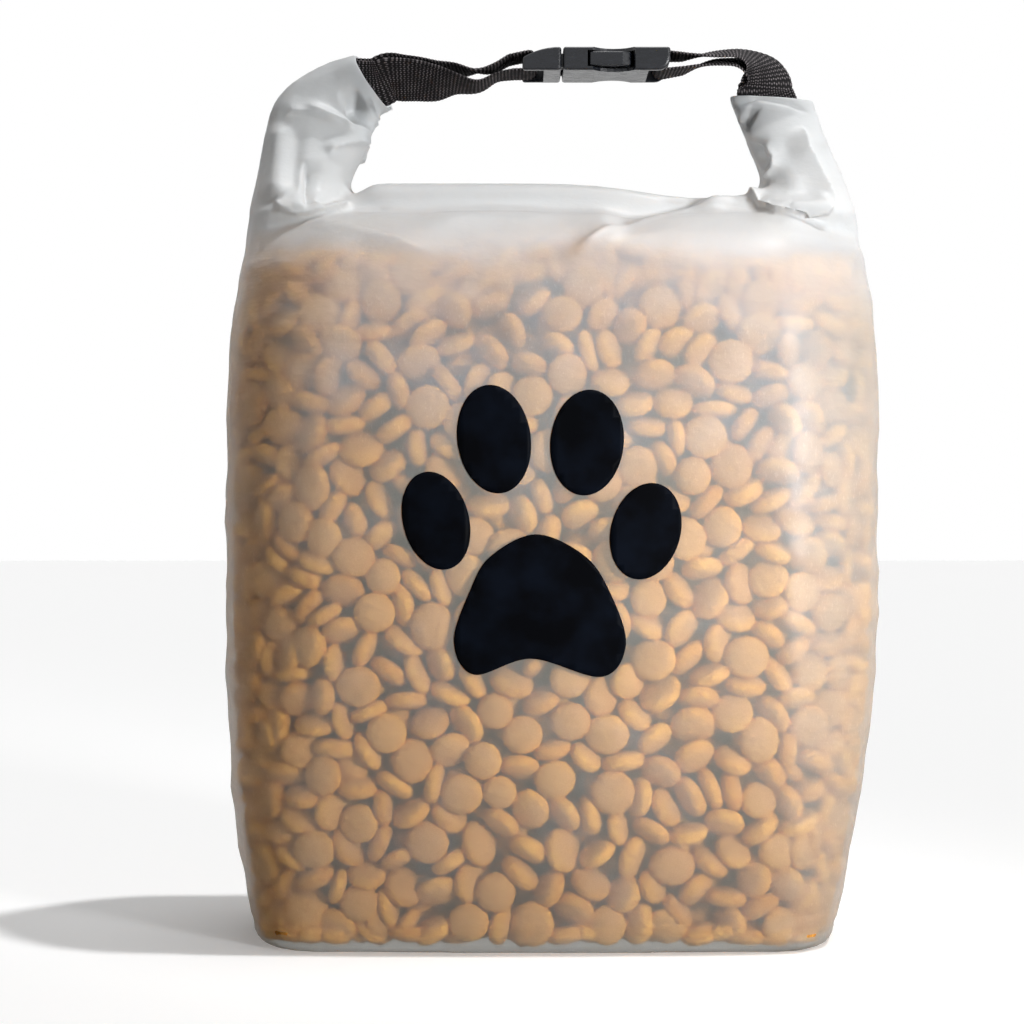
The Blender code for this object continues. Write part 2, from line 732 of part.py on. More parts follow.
def side_prism(name, outline):
    """A buckle half's side outline in the XZ plane, made as wide as the buckle, edges rounded."""
    bm = bmesh.new()
    half = BUCKLE_WIDTH / 2
    face = bm.faces.new([bm.verts.new((x, -half, z)) for x, z in outline])
    raised = bmesh.ops.extrude_face_region(bm, geom=[face])["geom"]
    for item in raised:
        if isinstance(item, bmesh.types.BMVert):
            item.co.y = half
    bmesh.ops.recalc_face_normals(bm, faces=bm.faces)
    round_corners(bm, BUCKLE_EDGE_RADIUS)
    return mesh_of(bm, name)


def bar_and_slot(half_name, obj, bar_low_x, slot_side):
    """Cuts the webbing slot beside a buckle's bar and thins the bar between its cheeks."""
    inner_half = BUCKLE_WIDTH / 2 - CHEEK_WIDTH
    bar_high_x = bar_low_x + BAR_WIDTH
    slot_low = bar_high_x if slot_side > 0 else bar_low_x - WEB_SLOT_LENGTH
    low_z = BUCKLE_HEIGHT - BUCKLE_THICKNESS
    high_z = BUCKLE_HEIGHT + BUCKLE_THICKNESS
    slot = block(
        "slot", (slot_low, -inner_half, low_z), (slot_low + WEB_SLOT_LENGTH, inner_half, high_z)
    )
    combine(obj, add_cutter(f"{half_name}_slot", slot), "DIFFERENCE")
    past = BUCKLE_EDGE_RADIUS * 2
    low_x = bar_low_x - (past if slot_side > 0 else CUT_OVERRUN)
    high_x = bar_high_x + (CUT_OVERRUN if slot_side > 0 else past)
    over = BUCKLE_HEIGHT + BAR_THICKNESS / 2
    under = BUCKLE_HEIGHT - BAR_THICKNESS / 2
    for place, bottom, top in (("over", over, high_z), ("under", low_z, under)):
        relief = block("relief", (low_x, -inner_half, bottom), (high_x, inner_half, top))
        combine(obj, add_cutter(f"{half_name}_{place}_bar", relief), "DIFFERENCE")


def build_prong_half():
    """The half with two sprung arms: a wedge body, a centre tongue, both arms and a web bar."""
    low_x = PARTING_X - PRONG_BODY_LENGTH
    bottom = BUCKLE_HEIGHT - BUCKLE_THICKNESS / 2
    top = BUCKLE_HEIGHT + BUCKLE_THICKNESS / 2
    outline = [(PARTING_X, bottom), (PARTING_X, top)]
    for step in range(1, PRONG_NOSE_STEPS + 1):
        share = step / PRONG_NOSE_STEPS
        drop = PRONG_NOSE_DROP * share**PRONG_NOSE_CURVE
        outline.append((PARTING_X - PRONG_BODY_LENGTH * share, top - drop))
    outline.append((low_x, bottom))
    obj = add_part("buckle_prong_half", side_prism("buckle_prong_half", outline), BUCKLE)
    bar_and_slot("prong", obj, low_x, 1)
    for name, side in (("front_arm", -1), ("back_arm", 1)):
        arm = prism(
            name, arm_outline(side), BUCKLE_HEIGHT - ARM_HEIGHT / 2, BUCKLE_HEIGHT + ARM_HEIGHT / 2
        )
        combine(obj, add_cutter(name, arm), "UNION")
    tongue = block(
        "tongue",
        (PARTING_X - JOINT_OVERLAP, -TONGUE_WIDTH / 2, BUCKLE_HEIGHT - TONGUE_THICKNESS / 2),
        (PARTING_X + TONGUE_LENGTH, TONGUE_WIDTH / 2, BUCKLE_HEIGHT + TONGUE_THICKNESS / 2),
        TONGUE_THICKNESS / 4,
    )
    combine(obj, add_cutter("tongue", tongue), "UNION")
    return obj


def scoop(side):
    """An elliptic cutter that bares an arm's press pad at one side of the socket."""
    start = PARTING_X + PAD_START - RUNNING_GAP
    middle = start + SCOOP_LENGTH / 2 - RUNNING_GAP
    bm = bmesh.new()
    bmesh.ops.create_cone(
        bm,
        cap_ends=True,
        segments=SCOOP_SEGMENTS,
        radius1=1.0,
        radius2=1.0,
        depth=4 * BUCKLE_THICKNESS,
    )
    for vertex in bm.verts:
        vertex.co.x = middle + vertex.co.x * SCOOP_LENGTH / 2
        vertex.co.y *= SCOOP_REACH + SCOOP_DEPTH
        vertex.co.y += side * (BUCKLE_WIDTH / 2 + SCOOP_REACH)
        vertex.co.z += BUCKLE_HEIGHT
    return mesh_of(bm, "scoop")


def build_socket_half():
    """The half that the prongs enter: a hollow housing, scooped at both sides, with a web bar."""
    half = BUCKLE_WIDTH / 2
    low_x = PARTING_X + PARTING_GAP
    high_x = low_x + SOCKET_LENGTH
    bottom = BUCKLE_HEIGHT - BUCKLE_THICKNESS / 2
    top = BUCKLE_HEIGHT + BUCKLE_THICKNESS / 2
    outline = [(low_x, bottom), (low_x, top), (high_x, top)]
    heel = SOCKET_HEEL_RADIUS
    for step in range(SOCKET_HEEL_STEPS + 1):
        angle = math.radians(90 * step / SOCKET_HEEL_STEPS)
        back = heel * (1 - math.cos(angle))
        outline.append((high_x - back, bottom + heel * (1 - math.sin(angle))))
    obj = add_part("buckle_socket_half", side_prism("buckle_socket_half", outline), BUCKLE)
    inner = half - CHEEK_WIDTH - SHELL_WALL / 4
    mouth = block(
        "mouth",
        (low_x - JOINT_OVERLAP, -inner, bottom + SHELL_WALL),
        (low_x + MOUTH_DEPTH, inner, top - SHELL_WALL),
    )
    combine(obj, add_cutter("mouth", mouth), "DIFFERENCE")
    window_half = ARM_HEIGHT / 2 + RUNNING_GAP
    start = PARTING_X + PAD_START
    window = block(
        "window",
        (start - 2 * RUNNING_GAP, -half - JOINT_OVERLAP, BUCKLE_HEIGHT - window_half),
        (start + PAD_LENGTH + WINDOW_CLEARANCE, half + JOINT_OVERLAP, BUCKLE_HEIGHT + window_half),
    )
    combine(obj, add_cutter("window", window), "DIFFERENCE")
    for name, side in (("front_scoop", -1), ("back_scoop", 1)):
        combine(obj, add_cutter(name, scoop(side)), "DIFFERENCE")
    bar_and_slot("socket", obj, high_x - BAR_WIDTH, -1)
    return obj


def outline_prism(name, points):
    """A cutter that carries a smooth closed outline in the XZ plane through the front panel."""
    curve = bpy.data.curves.new(name, "CURVE")
    curve.dimensions = "2D"
    curve.fill_mode = "BOTH"
    curve.resolution_u = PRINT_RESOLUTION
    curve.extrude = BAG_DEPTH / 4
    spline = curve.splines.new("BEZIER")
    spline.bezier_points.add(len(points) - 1)
    for point, (x, z) in zip(spline.bezier_points, points, strict=True):
        point.co = (x, z, 0)
        point.handle_left_type = "AUTO"
        point.handle_right_type = "AUTO"
    spline.use_cyclic_u = True
    obj = bpy.data.objects.new(name, curve)
    PARTS.objects.link(obj)
    obj.rotation_euler = (math.radians(90), 0, 0)
    obj.location = (0, -BAG_DEPTH / 2, 0)
    bpy.context.view_layer.update()
    graph = bpy.context.evaluated_depsgraph_get()
    mesh = bpy.data.meshes.new_from_object(obj.evaluated_get(graph))
    mesh.transform(obj.matrix_world)
    bpy.data.objects.remove(obj)
    bm = bmesh.new()
    bm.from_mesh(mesh)
    bmesh.ops.remove_doubles(bm, verts=bm.verts, dist=MERGE_DISTANCE)
    bmesh.ops.dissolve_limit(bm, angle_limit=PRINT_FLAT_ANGLE, verts=bm.verts, edges=bm.edges)
    return mesh_of(bm, name)


def toe_points(toe):
    """Points of a leaning ellipse."""
    lean = math.radians(toe.lean)
    points = []
    for step in range(TOE_POINTS):
        angle = 2 * math.pi * step / TOE_POINTS
        across = toe.half_width * math.cos(angle)
        up = toe.half_height * math.sin(angle)
        x = toe.x + across * math.cos(lean) - up * math.sin(lean)
        z = toe.z + across * math.sin(lean) + up * math.cos(lean)
        points.append((x, z))
    return points


def build_paw_print():
    """The printed paw: five thin fields that follow the front panel."""
    back = add_cutter("print_back", lofted("print_back", bag_rings(-PRINT_GAP, 0.0)))
    face = bag_rings(-PRINT_GAP - PRINT_THICKNESS, 0.0)
    front = add_cutter("print_face", lofted("print_face", face))
    outlines = [(toe.name, toe_points(toe)) for toe in TOES]
    pad = [(PAD_CENTRE[0] + x, PAD_CENTRE[1] + z) for x, z in PAD_OUTLINE]
    outlines.append((PAD_NAME, pad))
    for name, points in outlines:
        field = add_part(name, outline_prism(name, points), PRINT)
        combine(field, front, "INTERSECT")
        combine(field, back, "DIFFERENCE")


def main():
    """Builds every sub-part."""
    build_bag()
    build_kibble()
    build_left_webbing()
    build_right_webbing()
    build_prong_half()
    build_socket_half()
    build_paw_print()


main()
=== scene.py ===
"""Dressed model of a roll-top dog food bag: frosted film over loose kibble, with a webbing handle.

Everything is in metres and in the frame of the CAD, with +Z up and the front of the bag at -Y.
"""

from __future__ import annotations

import itertools
import logging
import math
import sys
from dataclasses import dataclass, field, replace
from enum import Enum

import bmesh
import bpy
import numpy as np
from mathutils import Matrix, Vector
from mathutils.bvhtree import BVHTree


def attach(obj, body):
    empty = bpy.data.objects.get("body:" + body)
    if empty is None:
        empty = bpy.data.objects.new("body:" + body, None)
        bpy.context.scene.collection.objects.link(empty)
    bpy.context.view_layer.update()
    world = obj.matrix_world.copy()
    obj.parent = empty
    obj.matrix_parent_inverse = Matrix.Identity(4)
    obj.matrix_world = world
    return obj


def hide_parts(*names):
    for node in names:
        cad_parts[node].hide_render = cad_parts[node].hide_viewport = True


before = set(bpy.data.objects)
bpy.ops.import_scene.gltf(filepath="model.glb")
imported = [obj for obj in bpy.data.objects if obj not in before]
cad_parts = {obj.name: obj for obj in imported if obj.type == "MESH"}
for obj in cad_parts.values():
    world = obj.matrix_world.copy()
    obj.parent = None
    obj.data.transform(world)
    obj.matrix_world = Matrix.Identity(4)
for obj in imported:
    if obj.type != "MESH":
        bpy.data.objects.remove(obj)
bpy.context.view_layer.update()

LOG = logging.getLogger("dog_food_bag")
ROOT = "root"

Colour = tuple[float, float, float]
Point2 = tuple[float, float]
Point3 = tuple[float, float, float]
Level = float | np.ndarray

# Distance under which points are one, and a length that only guards a division
MERGE_DISTANCE = 1e-6
TINY = 1e-9

# Steps to a cell's neighbours in a grid, with the cell itself
NEIGHBOURS = tuple(itertools.product((-1, 0, 1), repeat=3))


class Slot(str, Enum):
    """Material slots of the record."""

    FILM = "frosted_film"
    KIBBLE = "baked_kibble"
    WEBBING = "dark_webbing"
    ACETAL = "black_acetal"
    PRINT = "black_print"


class FoldKind(Enum):
    """Shape of a fold across its line."""

    RIDGE = "ridge"
    ROLL = "roll"
    STEP = "step"


# Mesh and array helpers


def mesh_coords(mesh: bpy.types.Mesh) -> np.ndarray:
    """Reads a mesh's vertex positions.

    Args:
        mesh: The mesh.

    Returns:
        An array with a row per vertex.
    """
    coords = np.empty(len(mesh.vertices) * 3)
    mesh.vertices.foreach_get("co", coords)
    return coords.reshape(-1, 3)


def mesh_normals(mesh: bpy.types.Mesh) -> np.ndarray:
    """Reads a mesh's vertex normals.

    Args:
        mesh: The mesh.

    Returns:
        An array with a row per vertex.
    """
    normals = np.empty(len(mesh.vertices) * 3)
    mesh.vertices.foreach_get("normal", normals)
    return normals.reshape(-1, 3)


def move_vertices(mesh: bpy.types.Mesh, coords: np.ndarray) -> None:
    """Puts a mesh's vertices at new positions, given as a row per vertex."""
    mesh.vertices.foreach_set("co", coords.astype(np.float32).ravel())
    mesh.update()


def paint(mesh: bpy.types.Mesh, name: str, values: np.ndarray) -> None:
    """Stores a number per vertex as a named attribute."""
    layer = mesh.attributes.new(name, "FLOAT", "POINT")
    layer.data.foreach_set("value", values.astype(np.float32))


def smoothstep(values: np.ndarray, low: float, high: float) -> np.ndarray:
    """Rises smoothly from 0 at low to 1 at high, or falls where high is below low."""
    share = np.clip((values - low) / (high - low), 0.0, 1.0)
    return share * share * (3 - 2 * share)


def ripple(points: np.ndarray, lengths: Point3, seed: int, waves: int = 18) -> np.ndarray:
    """A smooth random field, from plane waves in seeded directions.

    Args:
        points: A row per point.
        lengths: Typical wavelengths along X, Y and Z.
        seed: Seed of the directions and phases.
        waves: How many waves are added.

    Returns:
        A value per point, mostly between -1 and 1.
    """
    chance = np.random.default_rng(seed)
    directions = chance.normal(size=(waves, 3))
    directions /= np.linalg.norm(directions, axis=1)[:, None]
    directions *= chance.uniform(0.7, 1.4, size=(waves, 1))
    pitch = 2 * math.pi / np.array(lengths)
    phases = chance.uniform(0, 2 * math.pi, size=waves)
    total = np.zeros(len(points))
    for direction, phase in zip(directions, phases, strict=True):
        total += np.sin(points @ (direction * pitch) + phase)
    return total / math.sqrt(waves)


def spline(points: list[Vector], per_span: int) -> list[Vector]:
    """Points on a smooth curve through the given ones.

    Args:
        points: The points to pass through.
        per_span: Points made for each span.

    Returns:
        The points of the curve, with both ends.
    """
    ends = [2 * points[0] - points[1], *points, 2 * points[-1] - points[-2]]
    smooth = []
    for index in range(1, len(ends) - 2):
        a, b, c, d = ends[index - 1 : index + 3]
        for step in range(per_span):
            t = step / per_span
            bend = (2 * a - 5 * b + 4 * c - d) * t**2 + (3 * b - a - 3 * c + d) * t**3
            smooth.append(0.5 * (2 * b + (c - a) * t + bend))
    smooth.append(points[-1])
    return smooth


def loft(bm: bmesh.types.BMesh, rings: list[list[Vector]]) -> None:
    """Adds a closed loft through rings of as many points each.

    Args:
        bm: The bmesh that gets the loft.
        rings: The rings, from one end to the other.
    """
    columns = len(rings[0])
    rows = len(rings) - 1
    before = set(bm.verts)
    bmesh.ops.create_grid(bm, x_segments=columns, y_segments=rows, size=0.5)
    made = [vertex for vertex in bm.verts if vertex not in before]
    for vertex in made:
        column = round((vertex.co.x + 0.5) * columns) % columns
        vertex.co = rings[round((vertex.co.y + 0.5) * rows)][column]
    bmesh.ops.remove_doubles(bm, verts=made, dist=MERGE_DISTANCE)
    bmesh.ops.holes_fill(bm, edges=[edge for edge in bm.edges if edge.is_boundary])


def piece_of(name: str, mesh: bpy.types.Mesh, finish: bpy.types.Material, slot: Slot,
             *nodes: str) -> bpy.types.Object:
    """Puts a finished mesh in the scene as a piece of the object.

    Args:
        name: The piece's name.
        mesh: Its mesh, in place.
        finish: Its material.
        slot: The record's slot that it takes its finish from; not used.
        *nodes: CAD nodes that it stands for.

    Returns:
        The piece's object.
    """
    mesh.name = name
    mesh.materials.clear()
    mesh.materials.append(finish)
    obj = bpy.data.objects.new(name, mesh)
    bpy.context.scene.collection.objects.link(obj)
    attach(obj, ROOT)
    if nodes:
        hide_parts(*nodes)
    LOG.info("%s: %d faces", name, len(mesh.polygons))
    return obj


def mesh_from(bm: bmesh.types.BMesh, name: str, smooth: bool = True) -> bpy.types.Mesh:
    """Turns a bmesh into a mesh and frees it.

    Args:
        bm: The bmesh.
        name: The mesh's name.
        smooth: Whether its faces are shaded smooth.

    Returns:
        The mesh.
    """
    for face in bm.faces:
        face.smooth = smooth
    mesh = bpy.data.meshes.new(name)
    bm.to_mesh(mesh)
    bm.free()
    return mesh


def evaluated(obj: bpy.types.Object) -> bpy.types.Mesh:
    """Applies an object's modifiers into a new mesh and removes the object.

    Args:
        obj: The object.

    Returns:
        The finished mesh.
    """
    bpy.context.view_layer.update()
    graph = bpy.context.evaluated_depsgraph_get()
    mesh = bpy.data.meshes.new_from_object(obj.evaluated_get(graph))
    bpy.data.objects.remove(obj)
    return mesh


def surface_of(obj: bpy.types.Object) -> BVHTree:
    """A search tree of an object's mesh.

    Args:
        obj: The object.

    Returns:
        The tree.
    """
    bm = bmesh.new()
    bm.from_mesh(obj.data)
    tree = BVHTree.FromBMesh(bm)
    bm.free()
    return tree


def soften(bm: bmesh.types.BMesh, verts: list[bmesh.types.BMVert], rounds: int) -> None:
    """Smooths vertices.

    Args:
        bm: Their bmesh.
        verts: The vertices.
        rounds: How often they are smoothed.
    """
    for _ in range(rounds):
        bmesh.ops.smooth_vert(bm, verts=verts, factor=0.5, use_axis_x=True, use_axis_y=True,
                              use_axis_z=True)


def cross_axes(axes: np.ndarray) -> tuple[np.ndarray, np.ndarray]:
    """Two directions at right angles to each axis.

    Args:
        axes: A unit row per axis.

    Returns:
        The first and the second directions, a unit row per axis.
    """
    helper = np.where(np.abs(axes[:, 2:3]) < 0.8, [[0.0, 0.0, 1.0]], [[1.0, 0.0, 0.0]])
    first = np.cross(axes, helper)
    first /= np.linalg.norm(first, axis=1)[:, None]
    return first, np.cross(axes, first)


# Materials


class NodeSheet:
    """The node tree of one Principled material, with short calls to fill it."""

    def __init__(self, name: str) -> None:
        """Makes the material.

        Args:
            name: The material's name.
        """
        self.material = bpy.data.materials.new(name)
        self.material.use_nodes = True
        self.tree = self.material.node_tree
        self.shader = self.tree.nodes["Principled BSDF"]

    def put(self, kind: str, **inputs: object) -> bpy.types.Node:
        """Adds a node and sets its sockets.

        Args:
            kind: The node's type, without its ShaderNode prefix.
            **inputs: Values or output sockets by input name, with _ for a space.

        Returns:
            The node.
        """
        node = self.tree.nodes.new(f"ShaderNode{kind}")
        for key, value in inputs.items():
            self.feed(node.inputs[key.replace("_", " ")], value)
        return node

    def feed(self, socket: bpy.types.NodeSocket, value: object) -> None:
        """Links an output to a socket, or sets the socket's own value.

        Args:
            socket: The input socket.
            value: An output socket or a plain value.
        """
        if isinstance(value, bpy.types.NodeSocket):
            self.tree.links.new(value, socket)
        else:
            socket.default_value = value

    def math(self, operation: str, *values: object) -> bpy.types.NodeSocket:
        """Adds a Math node.

        Args:
            operation: The node's operation.
            *values: Its inputs in order.

        Returns:
            Its output.
        """
        node = self.tree.nodes.new("ShaderNodeMath")
        node.operation = operation
        for socket, value in zip(node.inputs, values, strict=False):
            self.feed(socket, value)
        return node.outputs[0]

    def place(self) -> bpy.types.NodeSocket:
        """The position on the object, the same as in the CAD's frame."""
        return self.put("TexCoord").outputs["Object"]

    def noise(self, vector: bpy.types.NodeSocket, scale: float, detail: float = 2.0,
              roughness: float = 0.5) -> bpy.types.NodeSocket:
        """Adds a noise texture.

        Args:
            vector: Where it is read.
            scale: Features per metre.
            detail: Octaves.
            roughness: Weight of the finer octaves.

        Returns:
            Its value output.
        """
        node = self.put("TexNoise", Vector=vector, Scale=scale, Detail=detail, Roughness=roughness)
        return node.outputs[0]

    def stretched(self, vector: bpy.types.NodeSocket, scale: Point3) -> bpy.types.NodeSocket:
        """Scales a position by a factor for each axis."""
        return self.put("Mapping", Vector=vector, Scale=scale).outputs[0]

    def span(self, value: object, from_low: float, from_high: float, to_low: float,
             to_high: float) -> bpy.types.NodeSocket:
        """Maps a value's range to another and clamps it.

        Args:
            value: The value.
            from_low: Low end of its own range.
            from_high: High end of its own range.
            to_low: What the low end becomes.
            to_high: What the high end becomes.

        Returns:
            The mapped value.
        """
        node = self.tree.nodes.new("ShaderNodeMapRange")
        for socket, number in zip(
            node.inputs, (value, from_low, from_high, to_low, to_high), strict=False
        ):
            self.feed(socket, number)
        return node.outputs[0]

    def blend(self, share: object, first: object, second: object) -> bpy.types.NodeSocket:
        """Mixes two colours.

        Args:
            share: How much of the second shows.
            first: The first colour or socket.
            second: The second colour or socket.

        Returns:
            The mixed colour.
        """
        node = self.tree.nodes.new("ShaderNodeMix")
        node.data_type = "RGBA"
        self.feed(node.inputs[0], share)
        for socket, value in ((node.inputs[6], first), (node.inputs[7], second)):
            self.feed(socket, (*value, 1.0) if isinstance(value, tuple) else value)
        return node.outputs[2]

    def reads(self, name: str) -> bpy.types.NodeSocket:
        """The value of a mesh attribute.

        Args:
            name: The attribute's name.

        Returns:
            Its value.
        """
        node = self.tree.nodes.new("ShaderNodeAttribute")
        node.attribute_name = name
        return node.outputs["Fac"]

    def bump(self, height: bpy.types.NodeSocket, distance: float, strength: float = 1.0,
             under: bpy.types.NodeSocket | None = None) -> bpy.types.NodeSocket:
        """Adds a bump and puts it on the shader.

        Args:
            height: The height field.
            distance: Its depth in metres.
            strength: How much of it shows.
            under: A bump that lies under this one.

        Returns:
            The bumped normal.
        """
        node = self.put("Bump", Height=height, Distance=distance, Strength=strength)
        if under is not None:
            self.feed(node.inputs["Normal"], under)
        self.feed(self.shader.inputs["Normal"], node.outputs[0])
        return node.outputs[0]

    def finish(self, **inputs: object) -> bpy.types.Material:
        """Sets the shader's sockets.

        Args:
            **inputs: Values or output sockets by input name, with _ for a space.

        Returns:
            The material.
        """
        for key, value in inputs.items():
            self.feed(self.shader.inputs[key.replace("_", " ")], value)
        return self.material


@dataclass(frozen=True)
class FrostedFilm:
    """Milky frosted film, which passes part of the light straight and part of it scattered; its
    left side carries painted shade and its lit right side a darker painted tone.
    """

    milk: Colour = (0.76, 0.76, 0.69)
    cool: Colour = (0.78, 0.83, 0.87)
    folded: Colour = (0.76, 0.78, 0.79)
    # Painted side tones: shade painted on the left side, and a darker tone painted on the lit
    # right side
    shaded_side: Colour = (0.66, 0.66, 0.56)
    lit_side: Colour = (0.42, 0.43, 0.38)
    clear_alpha: float = 0.50
    hazy_alpha: float = 0.93
    layered_alpha: float = 0.996
    transmission: float = 0.58
    folded_transmission: float = 0.32
    roughness: float = 0.52
    ior: float = 1.22
    coat: float = 0.25
    coat_roughness: float = 0.38
    coat_ior: float = 1.5
    cloud_scale: float = 38.0
    grain_scale: float = 2600.0
    dust_scale: float = 1300.0
    dent_scale: float = 95.0
    streak_scale: float = 70.0
    streak_height: float = 2.5
    dent_depth: float = 0.0006
    grain_depth: float = 0.00006

    def build(self) -> bpy.types.Material:
        """Makes the material."""
        sheet = NodeSheet("frosted_film_scene")
        place = sheet.place()
        haze = sheet.reads("haze")
        layers = sheet.reads("layers")
        cloud = sheet.noise(place, self.cloud_scale, 3.0)
        grain = sheet.noise(place, self.grain_scale, 2.0)
        clouded = sheet.math("ADD", haze, sheet.span(cloud, 0.3, 0.7, -0.16, 0.16))
        clouded = sheet.math("ADD", clouded, sheet.span(grain, 0.35, 0.65, -0.05, 0.05))
        dust = sheet.noise(sheet.stretched(place, (1.0, 1.0, 0.4)), self.dust_scale, 2.0)
        dusty = sheet.math("MULTIPLY", haze, sheet.span(dust, 0.60, 0.70, 0.0, 0.30))
        clouded = sheet.math("ADD", clouded, dusty)
        alpha = sheet.span(clouded, 0.0, 1.0, self.clear_alpha, self.hazy_alpha)
        mixed = sheet.math("MULTIPLY", layers, sheet.math("SUBTRACT", self.layered_alpha, alpha))
        hazed = sheet.span(haze, 0.25, 0.75, 0.0, 1.0)
        veil = sheet.math("ADD", hazed, sheet.span(cloud, 0.35, 0.65, -0.3, 0.3))
        colour = sheet.blend(veil, self.milk, self.cool)
        colour = sheet.blend(layers, colour, self.folded)
        # Painted shade on the left side and a darker painted tone on the lit right side, clouded
        # by noise
        side_shade_cloud = sheet.span(cloud, 0.3, 0.7, 0.55, 1.0)
        for name, tone in (("shaded", self.shaded_side), ("lit", self.lit_side)):
            colour = sheet.blend(sheet.math("MULTIPLY", sheet.reads(name), side_shade_cloud), colour, tone)
        dents = sheet.noise(sheet.stretched(place, (1.0, 1.0, 1.6)), self.dent_scale, 3.0)
        streaks = sheet.noise(sheet.stretched(place, (0.30, 0.30, 1.5)), self.streak_scale, 3.0)
        sides = sheet.math("MULTIPLY", streaks, sheet.reads("creased"))
        relief = sheet.math("ADD", dents, sheet.math("MULTIPLY", sides, self.streak_height))
        under = sheet.bump(relief, self.dent_depth, 0.7)
        sheet.bump(grain, self.grain_depth, 0.5, under)
        through = sheet.span(layers, 0.0, 1.0, self.transmission, self.folded_transmission)
        return sheet.finish(
            Base_Color=colour,
            Alpha=sheet.math("ADD", alpha, mixed),
            Roughness=self.roughness,
            IOR=self.ior,
            Transmission_Weight=through,
            Coat_Weight=self.coat,
            Coat_Roughness=self.coat_roughness,
            Coat_IOR=self.coat_ior,
        )


@dataclass(frozen=True)
class BakedKibble:
    """Dry baked pieces: tan to orange, browner at random, with a pitted crumb."""

    name: str = "baked_kibble_scene"
    light: Colour = (0.98, 0.52, 0.10)
    dark: Colour = (0.62, 0.26, 0.05)
    face: Colour = (0.60, 0.32, 0.12)
    fleck: Colour = (0.16, 0.055, 0.02)
    # Factor on every colour; below 1 it darkens the kibble as painted shade
    shade: float = 1.0
    crumb_scale: float = 620.0
    pit_scale: float = 1900.0
    crumb_depth: float = 0.0007
    pit_depth: float = 0.00025

    def build(self) -> bpy.types.Material:
        """Makes the material."""
        sheet = NodeSheet(self.name)
        place = sheet.place()
        crumb = sheet.noise(place, self.crumb_scale, 4.0, 0.65)
        pits = sheet.noise(place, self.pit_scale, 3.0, 0.6)
        mix = sheet.math("ADD", sheet.math("MULTIPLY", sheet.reads("tint"), 0.75),
                         sheet.span(crumb, 0.38, 0.64, -0.20, 0.65))
        light, dark, face = (tuple(channel * self.shade for channel in tone)
                             for tone in (self.light, self.dark, self.face))
        body = sheet.blend(mix, light, dark)
        body = sheet.blend(sheet.span(sheet.reads("rim"), 0.15, 0.60, 0.75, 0.0), body, face)
        colour = sheet.blend(sheet.span(pits, 0.60, 0.68, 0.0, 0.75), body, self.fleck)
        under = sheet.bump(crumb, self.crumb_depth, 0.9)
        sheet.bump(pits, self.pit_depth, 0.8, under)
        return sheet.finish(Base_Color=colour, Roughness=0.82, Specular_IOR_Level=0.25)


@dataclass(frozen=True)
class RibbedWebbing:
    """Charcoal-brown woven strap, whose ribs are mesh and whose yarns are in the shader, with
    painted shade in its grooves and crests painted lighter as wear and painted highlight.
    """

    groove_shade: Colour = (0.0015, 0.0013, 0.0015)
    yarn: Colour = (0.014, 0.0125, 0.014)
    worn_and_highlight: Colour = (0.360, 0.325, 0.335)

    def build(self) -> bpy.types.Material:
        """Makes the material."""
        sheet = NodeSheet("dark_webbing_scene")
        place = sheet.place()
        height = sheet.reads("weave")
        fibre = sheet.noise(place, 4200.0, 2.0)
        patch = sheet.noise(place, 260.0, 3.0)
        # Painted shade: the low yarns between the ribs are painted near black
        base = sheet.blend(sheet.span(height, 0.22, 0.66, 0.0, 1.0), self.groove_shade, self.yarn)
        # Patches of the crests are painted lighter, as wear and as painted highlight
        crest = sheet.math("MULTIPLY", sheet.span(height, 0.66, 0.98, 0.0, 1.0),
                           sheet.span(patch, 0.35, 0.65, 0.35, 1.0))
        colour = sheet.blend(crest, base, self.worn_and_highlight)
        sheet.bump(fibre, 0.00012, 0.6)
        return sheet.finish(Base_Color=colour, Roughness=0.78, Specular_IOR_Level=0.18)


@dataclass(frozen=True)
class BlackAcetal:
    """Black moulded acetal: satin, with a fine mould grain and faint scuffs."""

    colour: Colour = (0.0040, 0.0055, 0.0095)
    scuff: Colour = (0.013, 0.017, 0.025)

    def build(self) -> bpy.types.Material:
        """Makes the material."""
        sheet = NodeSheet("black_acetal_scene")
        place = sheet.place()
        grain = sheet.noise(place, 3200.0, 2.0)
        scuffs = sheet.noise(sheet.stretched(place, (0.25, 1.0, 1.0)), 900.0, 3.0)
        colour = sheet.blend(sheet.span(scuffs, 0.58, 0.75, 0.0, 0.7), self.colour, self.scuff)
        sheet.bump(grain, 0.00003, 0.35)
        return sheet.finish(
            Base_Color=colour,
            Roughness=sheet.span(scuffs, 0.4, 0.7, 0.24, 0.36),
            Specular_IOR_Level=0.50,
        )


@dataclass(frozen=True)
class BlackPrint:
    """Black screen ink: thin, slightly mottled, with a faint blue sheen painted into its colour.
    """

    ink: Colour = (0.0012, 0.0014, 0.0022)
    mottle_and_sheen: Colour = (0.0030, 0.0045, 0.0085)

    def build(self) -> bpy.types.Material:
        """Makes the material."""
        sheet = NodeSheet("black_print_scene")
        place = sheet.place()
        cloud = sheet.noise(place, 70.0, 4.0)
        grain = sheet.noise(place, 2600.0, 2.0)
        # The blue mottle is partly mottled ink and partly a painted sheen
        colour = sheet.blend(sheet.span(cloud, 0.4, 0.65, 0.0, 1.0), self.ink, self.mottle_and_sheen)
        sheet.bump(grain, 0.00003, 0.35)
        return sheet.finish(
            Base_Color=colour,
            Roughness=sheet.span(cloud, 0.35, 0.65, 0.42, 0.56),
            Specular_IOR_Level=0.02,
        )


# The filled bag's form


@dataclass(frozen=True)
class Section:
    """A level cut through the filled bag.

    Attributes:
        left: Reach to the left of the middle.
        right: Reach to the right of the middle.
        depth: Half depth at the corners.
        corner: Corner radius.
        bow: Share by which the sides draw in from their middle to the front and back.
    """

    left: float
    right: float
    depth: float
    corner: float
    bow: float


